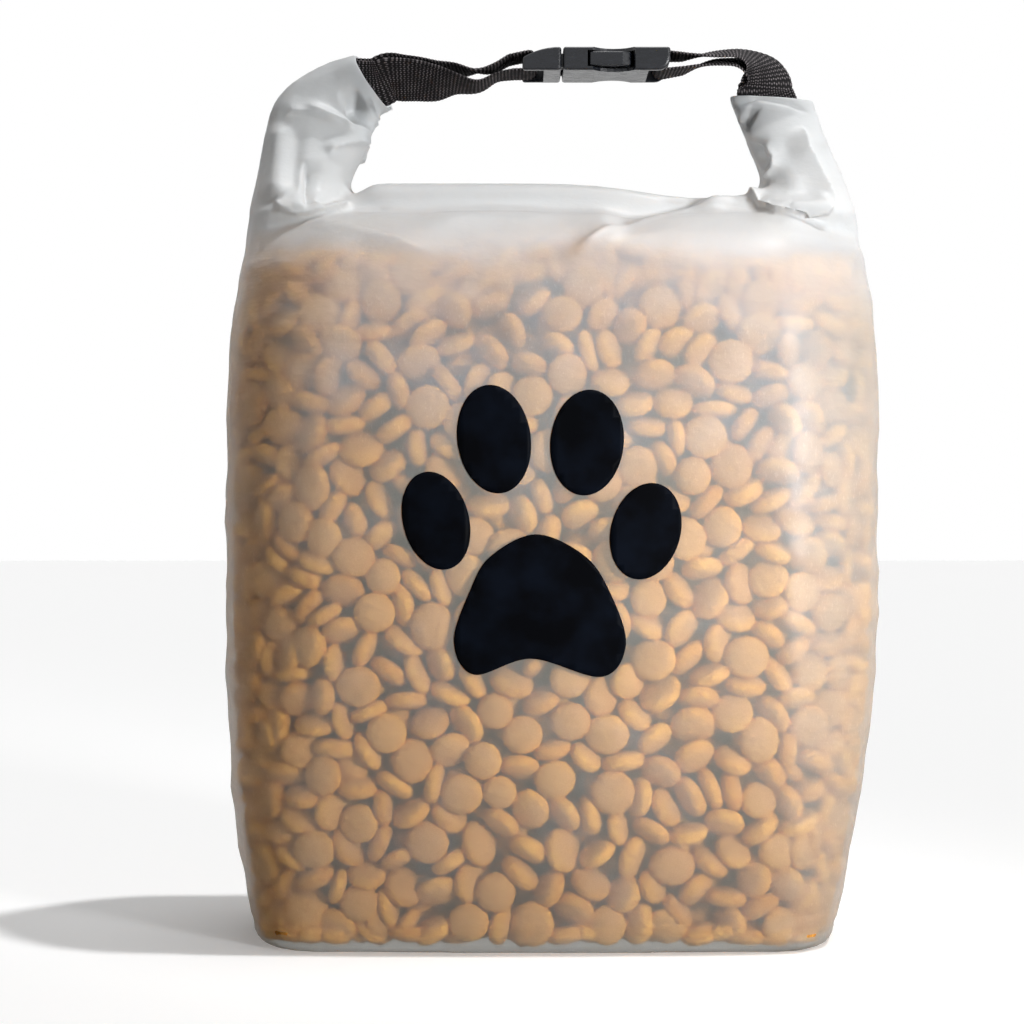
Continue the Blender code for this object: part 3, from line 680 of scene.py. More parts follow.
@dataclass
class BagForm:
    """The form of the filled bag, from its base to the strip that the roll sits on."""

    half_width: float = 0.1128
    half_depth: float = 0.058
    base_left: float = 0.103
    base_right: float = 0.0964
    base_half_depth: float = 0.050
    left_flare: float = 0.100
    right_flare: float = 0.125
    depth_flare: float = 0.110
    shoulder: float = 0.236
    taper_height: float = 0.061
    shoulder_taper: float = 0.0058
    depth_loss: float = 0.010
    bulge: float = 0.003
    base_bow: float = 0.10
    wall_bow: float = 0.16
    base_corner: float = 0.014
    wall_corner: float = 0.026
    base_edge: float = 0.003
    roof_start: float = 0.200
    roof_rise: float = 0.048
    roof_fullness: float = 0.833
    strip_half: float = 0.006
    corner_columns: int = 12
    panel_columns: int = 44
    side_columns: int = 18

    corner_share: float = 0.96
    least_corner: float = 0.0004

    def taper(self, height: Level) -> Level:
        """How far the wall has drawn in at a height towards the shoulder, from 0 to 1."""
        return np.maximum(1 - (self.shoulder - height) / self.taper_height, 0.0) ** 2

    @staticmethod
    def eased(share: Level) -> Level:
        """A rise from 0 to 1 that slows down towards its end."""
        return 1 - (1 - np.clip(share, 0.0, 1.0)) ** 2

    def section(self, height: Level) -> Section:
        """The bag's section at a height.

        Args:
            height: Height above the floor, or an array of heights.

        Returns:
            The section, whose measures are arrays where the height is one.
        """
        taper = self.taper(height)
        drawn = self.shoulder_taper * taper
        grown = self.eased(height / self.depth_flare)
        left, right = (
            base + (self.half_width - base) * self.eased(height / flare) - drawn
            for base, flare in (
                (self.base_left, self.left_flare),
                (self.base_right, self.right_flare),
            )
        )
        full = (self.half_depth - self.base_half_depth) * grown
        depth = self.base_half_depth + full - self.depth_loss * taper - self.bulge
        corner = self.base_corner + (self.wall_corner - self.base_corner) * grown
        bow = self.base_bow + (self.wall_bow - self.base_bow) * grown
        return Section(left, right, depth, corner, bow)

    def ring(self, height: float, inset: float, section: Section) -> list[Vector]:
        """Points round the bag at a height: a rounded rectangle whose long sides bulge.

        Args:
            height: Height above the floor.
            inset: How far the ring lies inside the wall.
            section: The section at that height.

        Returns:
            The points, from the middle of the right side over the back.
        """
        left = section.left - inset
        right = section.right - inset
        depth = section.depth - inset
        corner = max(min(section.corner - inset, depth * self.corner_share), self.least_corner)
        corners = (
            (right - corner, depth - corner, 0),
            (corner - left, depth - corner, 90),
            (corner - left, corner - depth, 180),
            (right - corner, corner - depth, 270),
        )
        flats = (self.panel_columns, self.side_columns) * 2
        points: list[Point2] = []
        for index, (x, y, start) in enumerate(corners):
            for step in range(self.corner_columns + 1):
                angle = math.radians(start + 90 * step / self.corner_columns)
                points.append((x + corner * math.cos(angle), y + corner * math.sin(angle)))
            next_x, next_y, next_start = corners[(index + 1) % 4]
            turned = math.radians(next_start)
            begin = points[-1]
            end = (next_x + corner * math.cos(turned), next_y + corner * math.sin(turned))
            for step in range(1, flats[index]):
                share = step / flats[index]
                points.append(tuple(a + (b - a) * share for a, b in zip(begin, end, strict=True)))
        swell = self.bulge * min(depth / self.base_half_depth, 1.0)
        bulged = []
        for x, y in points:
            across = max(0.0, 1 - (x / (right if x > 0 else left)) ** 2)
            bowed = x * (1 - section.bow * min((y / depth) ** 2, 1.0))
            bulged.append(Vector((bowed, y + swell * across * y / depth, height)))
        return bulged

    def wall_gap(self, places: np.ndarray) -> tuple[np.ndarray, np.ndarray]:
        """Signed distance from the wall, negative inside, and the wall's outward direction.

        Args:
            places: A row per point.

        Returns:
            The distances, and a level direction for each point.
        """
        x, y, height = places.T
        cut = self.section(np.clip(height, 0.0, self.shoulder))
        half = np.where(x > 0, cut.right, cut.left)
        x = x / (1 - cut.bow * np.minimum((y / cut.depth) ** 2, 1.0))
        depth = cut.depth + self.bulge * np.clip(1 - (x / half) ** 2, 0, 1)
        corner = np.minimum(cut.corner, depth * self.corner_share)
        over_x = np.abs(x) - (half - corner)
        over_y = np.abs(y) - (depth - corner)
        out_x = np.maximum(over_x, 0)
        out_y = np.maximum(over_y, 0)
        reach = np.hypot(out_x, out_y)
        gap = reach + np.minimum(np.maximum(over_x, over_y), 0) - corner
        round_part = reach > TINY
        safe = np.where(round_part, reach, 1.0)
        along_x = np.where(round_part, out_x / safe, (over_x > over_y) * 1.0)
        along_y = np.where(round_part, out_y / safe, (over_x <= over_y) * 1.0)
        normal = np.column_stack([along_x * np.sign(x), along_y * np.sign(y), np.zeros(len(x))])
        return gap, normal


@dataclass(frozen=True)
class EarSection:
    """One cross-section of an ear: outer and inner edge points and its thickness.

    The points' heights are above the shoulder.
    """

    outer: Point3
    inner: Point3
    depth: float


# How steeply a step's low side falls, and how its back rises
STEP_FACE = 0.0007
STEP_POWER = 1.5


@dataclass(frozen=True)
class Fold:
    """A fold or crease that runs along a line seen from the front.

    Attributes:
        line: Its points as (x, z).
        height: How far it stands out; negative for a groove.
        width: Its half width, or how far a step reaches back on its left side.
        kind: Its shape across the line.
        fade: Length over which its ends die out.
    """

    line: tuple[Point2, ...]
    height: float
    width: float
    kind: FoldKind = FoldKind.ROLL
    fade: float = 0.006

    def lift(self, coords: np.ndarray) -> np.ndarray:
        """How far the fold lifts each vertex.

        Args:
            coords: A row per vertex.

        Returns:
            The lifts, for the front and the back alike.
        """
        x, z = coords[:, 0], coords[:, 2]
        best = np.full(len(x), 1e9)
        side = np.zeros(len(x))
        along = np.zeros(len(x))
        run = 0.0
        for (ax, az), (bx, bz) in zip(self.line, self.line[1:], strict=False):
            dx, dz = bx - ax, bz - az
            length = math.hypot(dx, dz)
            share = np.clip(((x - ax) * dx + (z - az) * dz) / length**2, 0.0, 1.0)
            off_x = x - ax - share * dx
            off_z = z - az - share * dz
            away = np.hypot(off_x, off_z)
            nearer = away < best
            best = np.where(nearer, away, best)
            side = np.where(nearer, np.sign(dx * off_z - dz * off_x), side)
            along = np.where(nearer, run + share * length, along)
            run += length
        ends = smoothstep(along, 0.0, self.fade) * smoothstep(run - along, 0.0, self.fade)
        if self.kind is FoldKind.RIDGE:
            shape = np.exp(-best / self.width)
        elif self.kind is FoldKind.ROLL:
            shape = np.exp(-((best / self.width) ** 2))
        else:
            lifted = np.clip(1 - best / self.width, 0, 1) ** STEP_POWER
            shape = np.where(side >= 0, lifted, np.exp(-best / STEP_FACE))
        return self.height * shape * ends


@dataclass
class FilmSkin:
    """The frosted film: body, roll and both ears as one thin skin with real folds."""

    form: BagForm = field(default_factory=BagForm)
    voxel: float = 0.00185
    ear_columns: int = 56
    ear_rings: int = 9
    squareness: float = 0.75
    roll_width: float = 0.034
    roll_thickness: float = 0.0130
    roll_seat: float = 0.0027
    roll_left: float = -0.080
    roll_right: float = 0.082
    sag: float = 0.0050
    sag_at: float = 0.051
    sag_reach: float = 0.028
    end_drop: float = 0.0050
    drop_from: float = -0.0600
    drop_reach: float = 0.010
    drop_limit: float = 1.4
    rim_depth: float = 0.004
    rim_lead: float = 0.0002
    rim_step: float = 0.0007
    mouth_cut: float = 0.0012
    mouth_reach: float = 0.024
    rim_reach: float = 0.026
    base_rings: tuple[Point2, ...] = ((0.0, 1.0), (0.3, 0.28), (1.0, 0.0))
    wall_rows: int = 60
    roof_turns: int = 24
    roof_degrees: float = 88.0
    roll_turns: int = 12
    roll_stations: int = 60
    ear_from: float = 0.058
    ear_below: float = 0.0045
    ear_cuts: int = 2
    ear_rounds: int = 5
    joint_band: Point2 = (-0.005, 0.0085)
    joint_to: float = 0.068
    joint_rounds: int = 16
    back_shift: float = 0.004
    back_share: float = 0.8
    seam_height: float = 0.0056
    seam_width: float = 0.0016
    seam_depth: float = 0.0006
    left_ear: tuple[EarSection, ...] = (
        EarSection((-0.1068, 0, 0.0010), (-0.0710, 0, 0.0040), 0.046),
        EarSection((-0.1060, 0, 0.0060), (-0.0684, 0, 0.0080), 0.050),
        EarSection((-0.1052, 0, 0.0105), (-0.0666, 0, 0.0120), 0.0560),
        EarSection((-0.1042, 0, 0.0175), (-0.0690, 0, 0.0180), 0.0470),
        EarSection((-0.1026, 0, 0.0270), (-0.0698, 0, 0.0245), 0.035),
        EarSection((-0.1002, 0, 0.0400), (-0.0650, 0, 0.0360), 0.025),
        EarSection((-0.0960, -0.002, 0.0520), (-0.0622, 0.002, 0.0445), 0.019),
        EarSection((-0.0850, -0.005, 0.0615), (-0.0595, 0.005, 0.0495), 0.0180),
        EarSection((-0.0672, -0.0090, 0.0661), (-0.0546, 0.0090, 0.0514), 0.0150),
    )
    right_ear: tuple[EarSection, ...] = (
        EarSection((0.1068, 0, 0.0010), (0.0725, 0, 0.0040), 0.044),
        EarSection((0.1062, 0, 0.0050), (0.0700, 0, 0.0080), 0.048),
        EarSection((0.1054, 0, 0.0100), (0.0684, 0, 0.0135), 0.0540),
        EarSection((0.1041, 0, 0.0160), (0.0698, 0, 0.0180), 0.0440),
        EarSection((0.1010, 0, 0.0260), (0.0732, 0, 0.0245), 0.031),
        EarSection((0.0964, 0, 0.0360), (0.0692, 0, 0.0350), 0.023),
        EarSection((0.0934, 0, 0.0450), (0.0648, 0, 0.0450), 0.0155),
        EarSection((0.0914, 0, 0.0530), (0.0610, 0, 0.0550), 0.0130),
    )
    folds: tuple[Fold, ...] = (
        Fold(((-0.0862, 0.2862), (-0.0749, 0.2808), (-0.0620, 0.2762)), 0.0030, 0.0026,
             FoldKind.RIDGE),
        Fold(((-0.0931, 0.2810), (-0.0890, 0.2829), (-0.0844, 0.2824), (-0.0783, 0.2805),
              (-0.0720, 0.2778)), 0.0018, 0.0062, FoldKind.STEP),
        Fold(((-0.0724, 0.2822), (-0.0642, 0.2853)), -0.0060, 0.0044, FoldKind.ROLL, 0.003),
        Fold(((-0.0632, 0.2900), (-0.0614, 0.2808), (-0.0618, 0.2755)), 0.0022, 0.0011,
             FoldKind.RIDGE, 0.003),
        Fold(((-0.0934, 0.2800), (-0.0941, 0.2660), (-0.0948, 0.2500)), 0.0024, 0.0036),
        Fold(((-0.0880, 0.2790), (-0.0886, 0.2660), (-0.0880, 0.2520)), -0.0014, 0.0030),
        Fold(((-0.0775, 0.2672), (-0.0752, 0.2702), (-0.0711, 0.2716), (-0.0664, 0.2730),
              (-0.0605, 0.2742)), 0.0024, 0.0050, FoldKind.STEP, 0.004),
        Fold(((-0.0848, 0.2660), (-0.0842, 0.2540), (-0.0832, 0.2462)), -0.0042, 0.0125,
             FoldKind.STEP, 0.005),
        Fold(((-0.0770, 0.2620), (-0.0745, 0.2560), (-0.0735, 0.2500)), -0.0020, 0.0050),
        Fold(((-0.0800, 0.2492), (-0.0750, 0.2512), (-0.0705, 0.2548)), -0.0026, 0.0024,
             FoldKind.ROLL, 0.003),
        Fold(((-0.0955, 0.2510), (-0.0914, 0.2473), (-0.0870, 0.2459), (-0.0820, 0.2457),
              (-0.0776, 0.2464), (-0.0730, 0.2482), (-0.0690, 0.2510)), 0.0030, 0.0095,
             FoldKind.STEP, 0.004),
        Fold(((0.0720, 0.2735), (0.0762, 0.2674), (0.0767, 0.2636), (0.0748, 0.2605),
              (0.0700, 0.2570)), 0.0030, 0.0018, FoldKind.RIDGE),
        Fold(((0.0672, 0.2740), (0.0704, 0.2666), (0.0728, 0.2622)), -0.0042, 0.0034,
             FoldKind.ROLL, 0.004),
        Fold(((0.0963, 0.2480), (0.0938, 0.2560), (0.0914, 0.2627), (0.0880, 0.2700),
              (0.0862, 0.2790)), 0.0030, 0.0080, FoldKind.STEP),
        Fold(((0.0930, 0.2740), (0.0962, 0.2650), (0.0990, 0.2560)), -0.0016, 0.0034),
        Fold(((0.0655, 0.2830), (0.0700, 0.2800)), -0.0018, 0.0040, FoldKind.ROLL, 0.002),
        Fold(((0.0800, 0.2680), (0.0830, 0.2600), (0.0850, 0.2530)), 0.0016, 0.0060),
        Fold(((0.0612, 0.2860), (0.0715, 0.2882), (0.0820, 0.2862), (0.0900, 0.2830)), -0.0010,
             0.0009),
        Fold(((0.0660, 0.2560), (0.0686, 0.2523), (0.0711, 0.2489), (0.0747, 0.2462),
              (0.0801, 0.2448), (0.0855, 0.2451), (0.0918, 0.2462), (0.0958, 0.2495)), 0.0034,
             0.0100, FoldKind.STEP, 0.004),
        Fold(((0.0740, 0.2440), (0.0801, 0.2425), (0.0870, 0.2430), (0.0930, 0.2445)), 0.0008,
             0.0012, FoldKind.RIDGE),
        Fold(((0.0640, 0.2530), (0.0470, 0.2495), (0.0293, 0.2436), (0.0151, 0.2359),
              (0.0024, 0.2250)), 0.0030, 0.0024, FoldKind.RIDGE, 0.012),
        Fold(((0.0560, 0.2545), (0.0400, 0.2500), (0.0270, 0.2450), (0.0160, 0.2390)), -0.0040,
             0.0050, FoldKind.ROLL, 0.010),
        Fold(((-0.0480, 0.2430), (-0.0200, 0.2452), (0.0050, 0.2440)), 0.0016, 0.0040,
             FoldKind.ROLL, 0.015),
        Fold(((-0.0900, 0.2430), (-0.0700, 0.2395), (-0.0520, 0.2345), (-0.0380, 0.2290)),
             0.0020, 0.0026, FoldKind.RIDGE, 0.015),
        Fold(((0.1040, 0.2400), (0.1010, 0.2300), (0.0960, 0.2180)), 0.0012, 0.0024,
             FoldKind.RIDGE, 0.008),
        Fold(((0.0640, 0.0100), (0.0740, 0.0060), (0.0850, 0.0010)), 0.0014, 0.0016,
             FoldKind.RIDGE, 0.006),
        Fold(((-0.0860, 0.0052), (-0.0760, 0.0066), (-0.0660, 0.0060)), 0.0010, 0.0012,
             FoldKind.RIDGE, 0.005),
    )

    def body_rings(self) -> list[list[Vector]]:
        """Rings of the filled body and its rounded top."""
        form = self.form
        rings = []
        for share, drawn in self.base_rings:
            height = form.base_edge * share
            rings.append(form.ring(height, form.base_edge * drawn, form.section(height)))
        for row in range(1, self.wall_rows + 1):
            height = form.base_edge + (form.roof_start - form.base_edge) * row / self.wall_rows
            rings.append(form.ring(height, 0.0, form.section(height)))
        full = form.section(form.roof_start).depth
        for turn in range(1, self.roof_turns + 1):
            angle = math.radians(self.roof_degrees * turn / self.roof_turns)
            height = form.roof_start + form.roof_rise * math.sin(angle) ** form.roof_fullness
            narrowed = math.cos(angle) ** form.roof_fullness * (full - form.strip_half)
            section = replace(form.section(height), depth=form.strip_half + narrowed)
            rings.append(form.ring(height, 0.0, section))
        return rings

    def ear_loft(self, sections: tuple[EarSection, ...]) -> list[list[Vector]]:
        """Flattened rings along an ear.

        Args:
            sections: Its sections.

        Returns:
            The rings, from its foot to its mouth.
        """
        base = Vector((0, 0, self.form.shoulder))
        outers = spline([base + Vector(item.outer) for item in sections], self.ear_rings)
        inners = spline([base + Vector(item.inner) for item in sections], self.ear_rings)
        depths = spline([Vector((item.depth, 0, 0)) for item in sections], self.ear_rings)
        last = len(outers) - 1
        rings = []
        for index in range(last + 1):
            centre = (outers[index] + inners[index]) / 2
            half = (inners[index] - outers[index]) / 2
            after = min(index + 1, last)
            before = max(index - 1, 0)
            along = outers[after] + inners[after] - outers[before] - inners[before]
            thick = along.cross(half).normalized() * (depths[index].x / 2)
            points = []
            for step in range(self.ear_columns):
                angle = 2 * math.pi * step / self.ear_columns
                flat = math.copysign(abs(math.sin(angle)) ** self.squareness, math.sin(angle))
                points.append(centre + half * math.cos(angle) + thick * flat)
            rings.append(points)
        return rings

    def mouth(self, sections: tuple[EarSection, ...]) -> tuple[Vector, Vector]:
        """The middle of an ear's mouth and the direction that it faces.

        Args:
            sections: The ear's sections.

        Returns:
            The point and the direction.
        """
        last, before = sections[-1], sections[-2]
        centre = (Vector(last.outer) + Vector(last.inner)) / 2
        inward = (Vector(before.outer) + Vector(before.inner)) / 2
        width = Vector(last.outer) - Vector(last.inner)
        facing = centre - inward
        facing -= width * facing.dot(width) / width.length_squared
        return centre + Vector((0, 0, self.form.shoulder)), facing.normalized()

    def roll_loft(self) -> list[list[Vector]]:
        """Rings along the rolled mouth of the bag."""
        half = self.roll_thickness / 2
        straight = self.roll_width / 2 - half
        outline = []
        for side, start in ((1, 90), (-1, 270)):
            for step in range(self.roll_turns + 1):
                angle = math.radians(start - 180 * step / self.roll_turns)
                outline.append((side * straight + half * math.cos(angle), half * math.sin(angle)))
        seat = self.form.roof_start + self.form.roof_rise - self.roll_seat + half
        rings = []
        for index in range(self.roll_stations + 1):
            x = self.roll_left + (self.roll_right - self.roll_left) * index / self.roll_stations
            sag = self.sag * math.exp(-(((x - self.sag_at) / self.sag_reach) ** 2))
            past_end = min(max((self.drop_from - x) / self.drop_reach, 0.0), self.drop_limit)
            sag += self.end_drop * past_end**1.5
            rings.append([Vector((x, y, seat + z - sag)) for y, z in outline])
        return rings

    def fused(self) -> bpy.types.Mesh:
        """Body, roll and ears fused into one closed skin."""
        bm = bmesh.new()
        lofts = (self.body_rings(), self.roll_loft(), self.ear_loft(self.left_ear),
                 self.ear_loft(self.right_ear))
        for rings in lofts:
            loft(bm, rings)
        bmesh.ops.recalc_face_normals(bm, faces=bm.faces)
        rough = bpy.data.objects.new("film_lofts", mesh_from(bm, "film_lofts"))
        bpy.context.scene.collection.objects.link(rough)
        remesh = rough.modifiers.new("fuse", "REMESH")
        remesh.mode = "VOXEL"
        remesh.voxel_size = self.voxel
        remesh.use_smooth_shade = True
        return evaluated(rough)

    def refine(self, mesh: bpy.types.Mesh) -> bpy.types.Mesh:
        """Splits the faces of the ears and softens the voxel steps.

        Args:
            mesh: The fused skin.

        Returns:
            The refined skin.
        """
        bm = bmesh.new()
        bm.from_mesh(mesh)
        soften(bm, bm.verts[:], 1)
        limit = self.form.roof_start + self.form.roof_rise - self.ear_below
        fine = [
            edge
            for edge in bm.edges
            if all(abs(v.co.x) > self.ear_from and v.co.z > limit for v in edge.verts)
        ]
        bmesh.ops.subdivide_edges(bm, edges=fine, cuts=self.ear_cuts, use_grid_fill=True)
        ears = [v for v in bm.verts if abs(v.co.x) > self.ear_from and v.co.z > limit]
        low, high = (limit + end for end in self.joint_band)
        joint = [v for v in bm.verts if low < v.co.z < high and abs(v.co.x) < self.joint_to]
        soften(bm, ears, self.ear_rounds)
        soften(bm, joint, self.joint_rounds)
        return mesh_from(bm, "bag_film_skin")

    def open_mouths(self, mesh: bpy.types.Mesh) -> bpy.types.Mesh:
        """Cuts the ears open at their mouths and turns a hem into each.

        Args:
            mesh: The closed skin.

        Returns:
            The opened skin.
        """
        bm = bmesh.new()
        bm.from_mesh(mesh)
        for sections in (self.left_ear, self.right_ear):
            centre, facing = self.mouth(sections)
            near = [v for v in bm.verts if (v.co - centre).length < self.mouth_reach]
            chosen = set(near)
            geom = near + [e for e in bm.edges if chosen.issuperset(e.verts)]
            geom += [f for f in bm.faces if chosen.issuperset(f.verts)]
            bmesh.ops.bisect_plane(bm, geom=geom, dist=MERGE_DISTANCE,
                                   plane_co=centre - facing * self.mouth_cut, plane_no=facing,
                                   clear_outer=True)
            rim = [edge for edge in bm.edges if edge.is_boundary
                   and (edge.verts[0].co - centre).length < self.rim_reach]
            for depth in (-self.rim_lead, -self.rim_depth):
                made = bmesh.ops.extrude_edge_only(bm, edges=rim)["geom"]
                lip = [item for item in made if isinstance(item, bmesh.types.BMVert)]
                rim = [item for item in made
                       if isinstance(item, bmesh.types.BMEdge) and item.is_boundary]
                middle = sum((vertex.co for vertex in lip), Vector()) / len(lip)
                for vertex in lip:
                    inward = (middle - vertex.co).normalized()
                    vertex.co += inward * self.rim_step + facing * depth
        return mesh_from(bm, "bag_film_skin")

    def sculpt(self, mesh: bpy.types.Mesh) -> None:
        """Gives the skin its folds, side wrinkles, dents, base seam and dog-eared corner.

        Args:
            mesh: The skin.
        """
        coords = mesh_coords(mesh)
        normals = mesh_normals(mesh)
        x, y, z = coords.T
        shoulder = self.form.shoulder
        lift = np.zeros(len(coords))
        ears = smoothstep(np.abs(x), 0.055, 0.066) * smoothstep(z, 0.246, 0.2505)
        body = 1 - smoothstep(z, shoulder - 0.004, shoulder + 0.006)
        low = smoothstep(z, 0.006, 0.03)
        sides = smoothstep(np.abs(x), 0.055, 0.100)
        paw = smoothstep(-y, 0.02, 0.04) * smoothstep(0.075 - np.abs(x + 0.006), 0.0, 0.02)
        calm = 1 - 0.75 * paw * smoothstep(z, 0.075, 0.09) * (1 - smoothstep(z, 0.185, 0.2))
        slow = ripple(coords, (0.075, 0.075, 0.055), 3)
        crease = 1 - np.abs(ripple(coords, (0.110, 0.110, 0.024), 5))
        dents = ripple(coords, (0.016, 0.016, 0.013), 8, 26)
        lift += body * low * calm * (slow * 0.0004 + dents * 0.00013)
        lift += body * low * sides * (crease * 0.0006 - 0.0003)
        front = smoothstep(-normals[:, 1], 0.05, 0.45)
        rear = smoothstep(normals[:, 1], 0.05, 0.45)
        mirrored = coords + [0.0, 0.0, self.back_shift]
        for fold in self.folds:
            lift += fold.lift(coords) * front
            lift += fold.lift(mirrored) * rear * self.back_share
        lift += ears * ripple(coords, (0.030, 0.030, 0.040), 12) * 0.0005
        seam = np.exp(-(((z - self.seam_height) / self.seam_width) ** 2))
        lift -= seam * self.seam_depth * (np.abs(normals[:, 2]) < 0.6)
        coords += normals * lift[:, None]
        move_vertices(mesh, coords)

    def grade(self, mesh: bpy.types.Mesh) -> None:
        """Paints how hazy the film looks, how many layers lie there, where the sides crease, and
        the masks of painted shade on the left side and a darker painted tone on the lit right
        side.

        Args:
            mesh: The finished skin.
        """
        coords = mesh_coords(mesh)
        x, _, z = coords.T
        drift = ripple(coords, (0.09, 0.09, 0.09), 21)
        uneven = z + 0.006 * ripple(coords, (0.07, 0.07, 0.05), 23)
        haze = 0.06 + 0.56 * smoothstep(uneven, 0.09, 0.20)
        haze += 0.55 * smoothstep(uneven, 0.198, 0.230)
        sides = smoothstep(np.abs(x) + 0.004 * drift, 0.056, 0.108)
        low = 1 - smoothstep(z, 0.200, 0.232)
        haze += 0.52 * sides + 0.05 * drift
        paint(mesh, "haze", np.clip(haze, 0.0, 1.0))
        paint(mesh, "creased", sides * (1 - smoothstep(z, 0.236, 0.246)))
        # Masks of the painted side tones: painted shade on the left side and a darker painted tone
        # on the lit right side, below the headspace
        paint(mesh, "shaded", sides * (x < 0) * low * 0.85)
        paint(mesh, "lit", sides * (x > 0) * low * 0.75)
        top = self.form.roof_start + self.form.roof_rise
        ears = smoothstep(np.abs(x), 0.058, 0.070) * smoothstep(z, 0.2430, 0.2490)
        roll = smoothstep(z, top - 0.0040, top + 0.0050)
        head = smoothstep(uneven, 0.226, 0.240)
        paint(mesh, "layers", np.maximum(np.maximum(ears, roll * 0.80), head * 0.70))

    def build(self, finish: bpy.types.Material) -> bpy.types.Object:
        """Makes the film.

        Args:
            finish: Its material.

        Returns:
            The piece.
        """
        mesh = self.refine(self.fused())
        self.sculpt(mesh)
        mesh = self.open_mouths(mesh)
        coords = mesh_coords(mesh)
        coords[:, 2] = np.maximum(coords[:, 2], 0.0)
        mesh.vertices.foreach_set("co", coords.ravel())
        self.grade(mesh)
        return piece_of("bag_film_skin", mesh, finish, Slot.FILM, "bag_film")


# Kibble


# Power of the norm that gives a fat disc's reach: 2 is an ellipsoid and 1 a cylinder
FATNESS = 1.35


class Face(Enum):
    """What a layer of kibble lies against."""

    WALL = "wall"
    HEAP = "heap"
    FLOOR = "floor"


@dataclass
class Discs:
    """A set of kibble pieces: their middles, axes, radii and half thicknesses."""

    middle: np.ndarray
    axis: np.ndarray
    radius: np.ndarray
    half: np.ndarray

    def support(self, direction: np.ndarray) -> np.ndarray:
        """How far each piece reaches along a direction.

        Args:
            direction: A unit row per piece.

        Returns:
            The reaches.
        """
        lean = np.abs(np.sum(direction * self.axis, axis=1))
        wide = self.radius * np.sqrt(np.maximum(1 - lean**2, 0))
        return (wide**FATNESS + (self.half * lean) ** FATNESS) ** (1 / FATNESS)

    def joined(self, other: Discs) -> Discs:
        """This set and another together.

        Args:
            other: The other set.

        Returns:
            Both as one.
        """
        return Discs(
            np.vstack([self.middle, other.middle]),
            np.vstack([self.axis, other.axis]),
            np.concatenate([self.radius, other.radius]),
            np.concatenate([self.half, other.half]),
        )

    def balls(self, ring: int = 6) -> tuple[np.ndarray, np.ndarray, np.ndarray]:
        """Balls that fill each piece, for keeping the pieces apart.

        Args:
            ring: Balls round the middle one.

        Returns:
            Ball middles, ball radii and the piece that each belongs to.
        """
        first, second = cross_axes(self.axis)
        places = [self.middle]
        for step in range(ring):
            angle = 2 * math.pi * step / ring
            spoke = first * math.cos(angle) + second * math.sin(angle)
            places.append(self.middle + spoke * (self.radius - self.half)[:, None])
        owner = np.tile(np.arange(len(self.middle)), ring + 1)
        return np.vstack(places), np.tile(self.half, ring + 1), owner


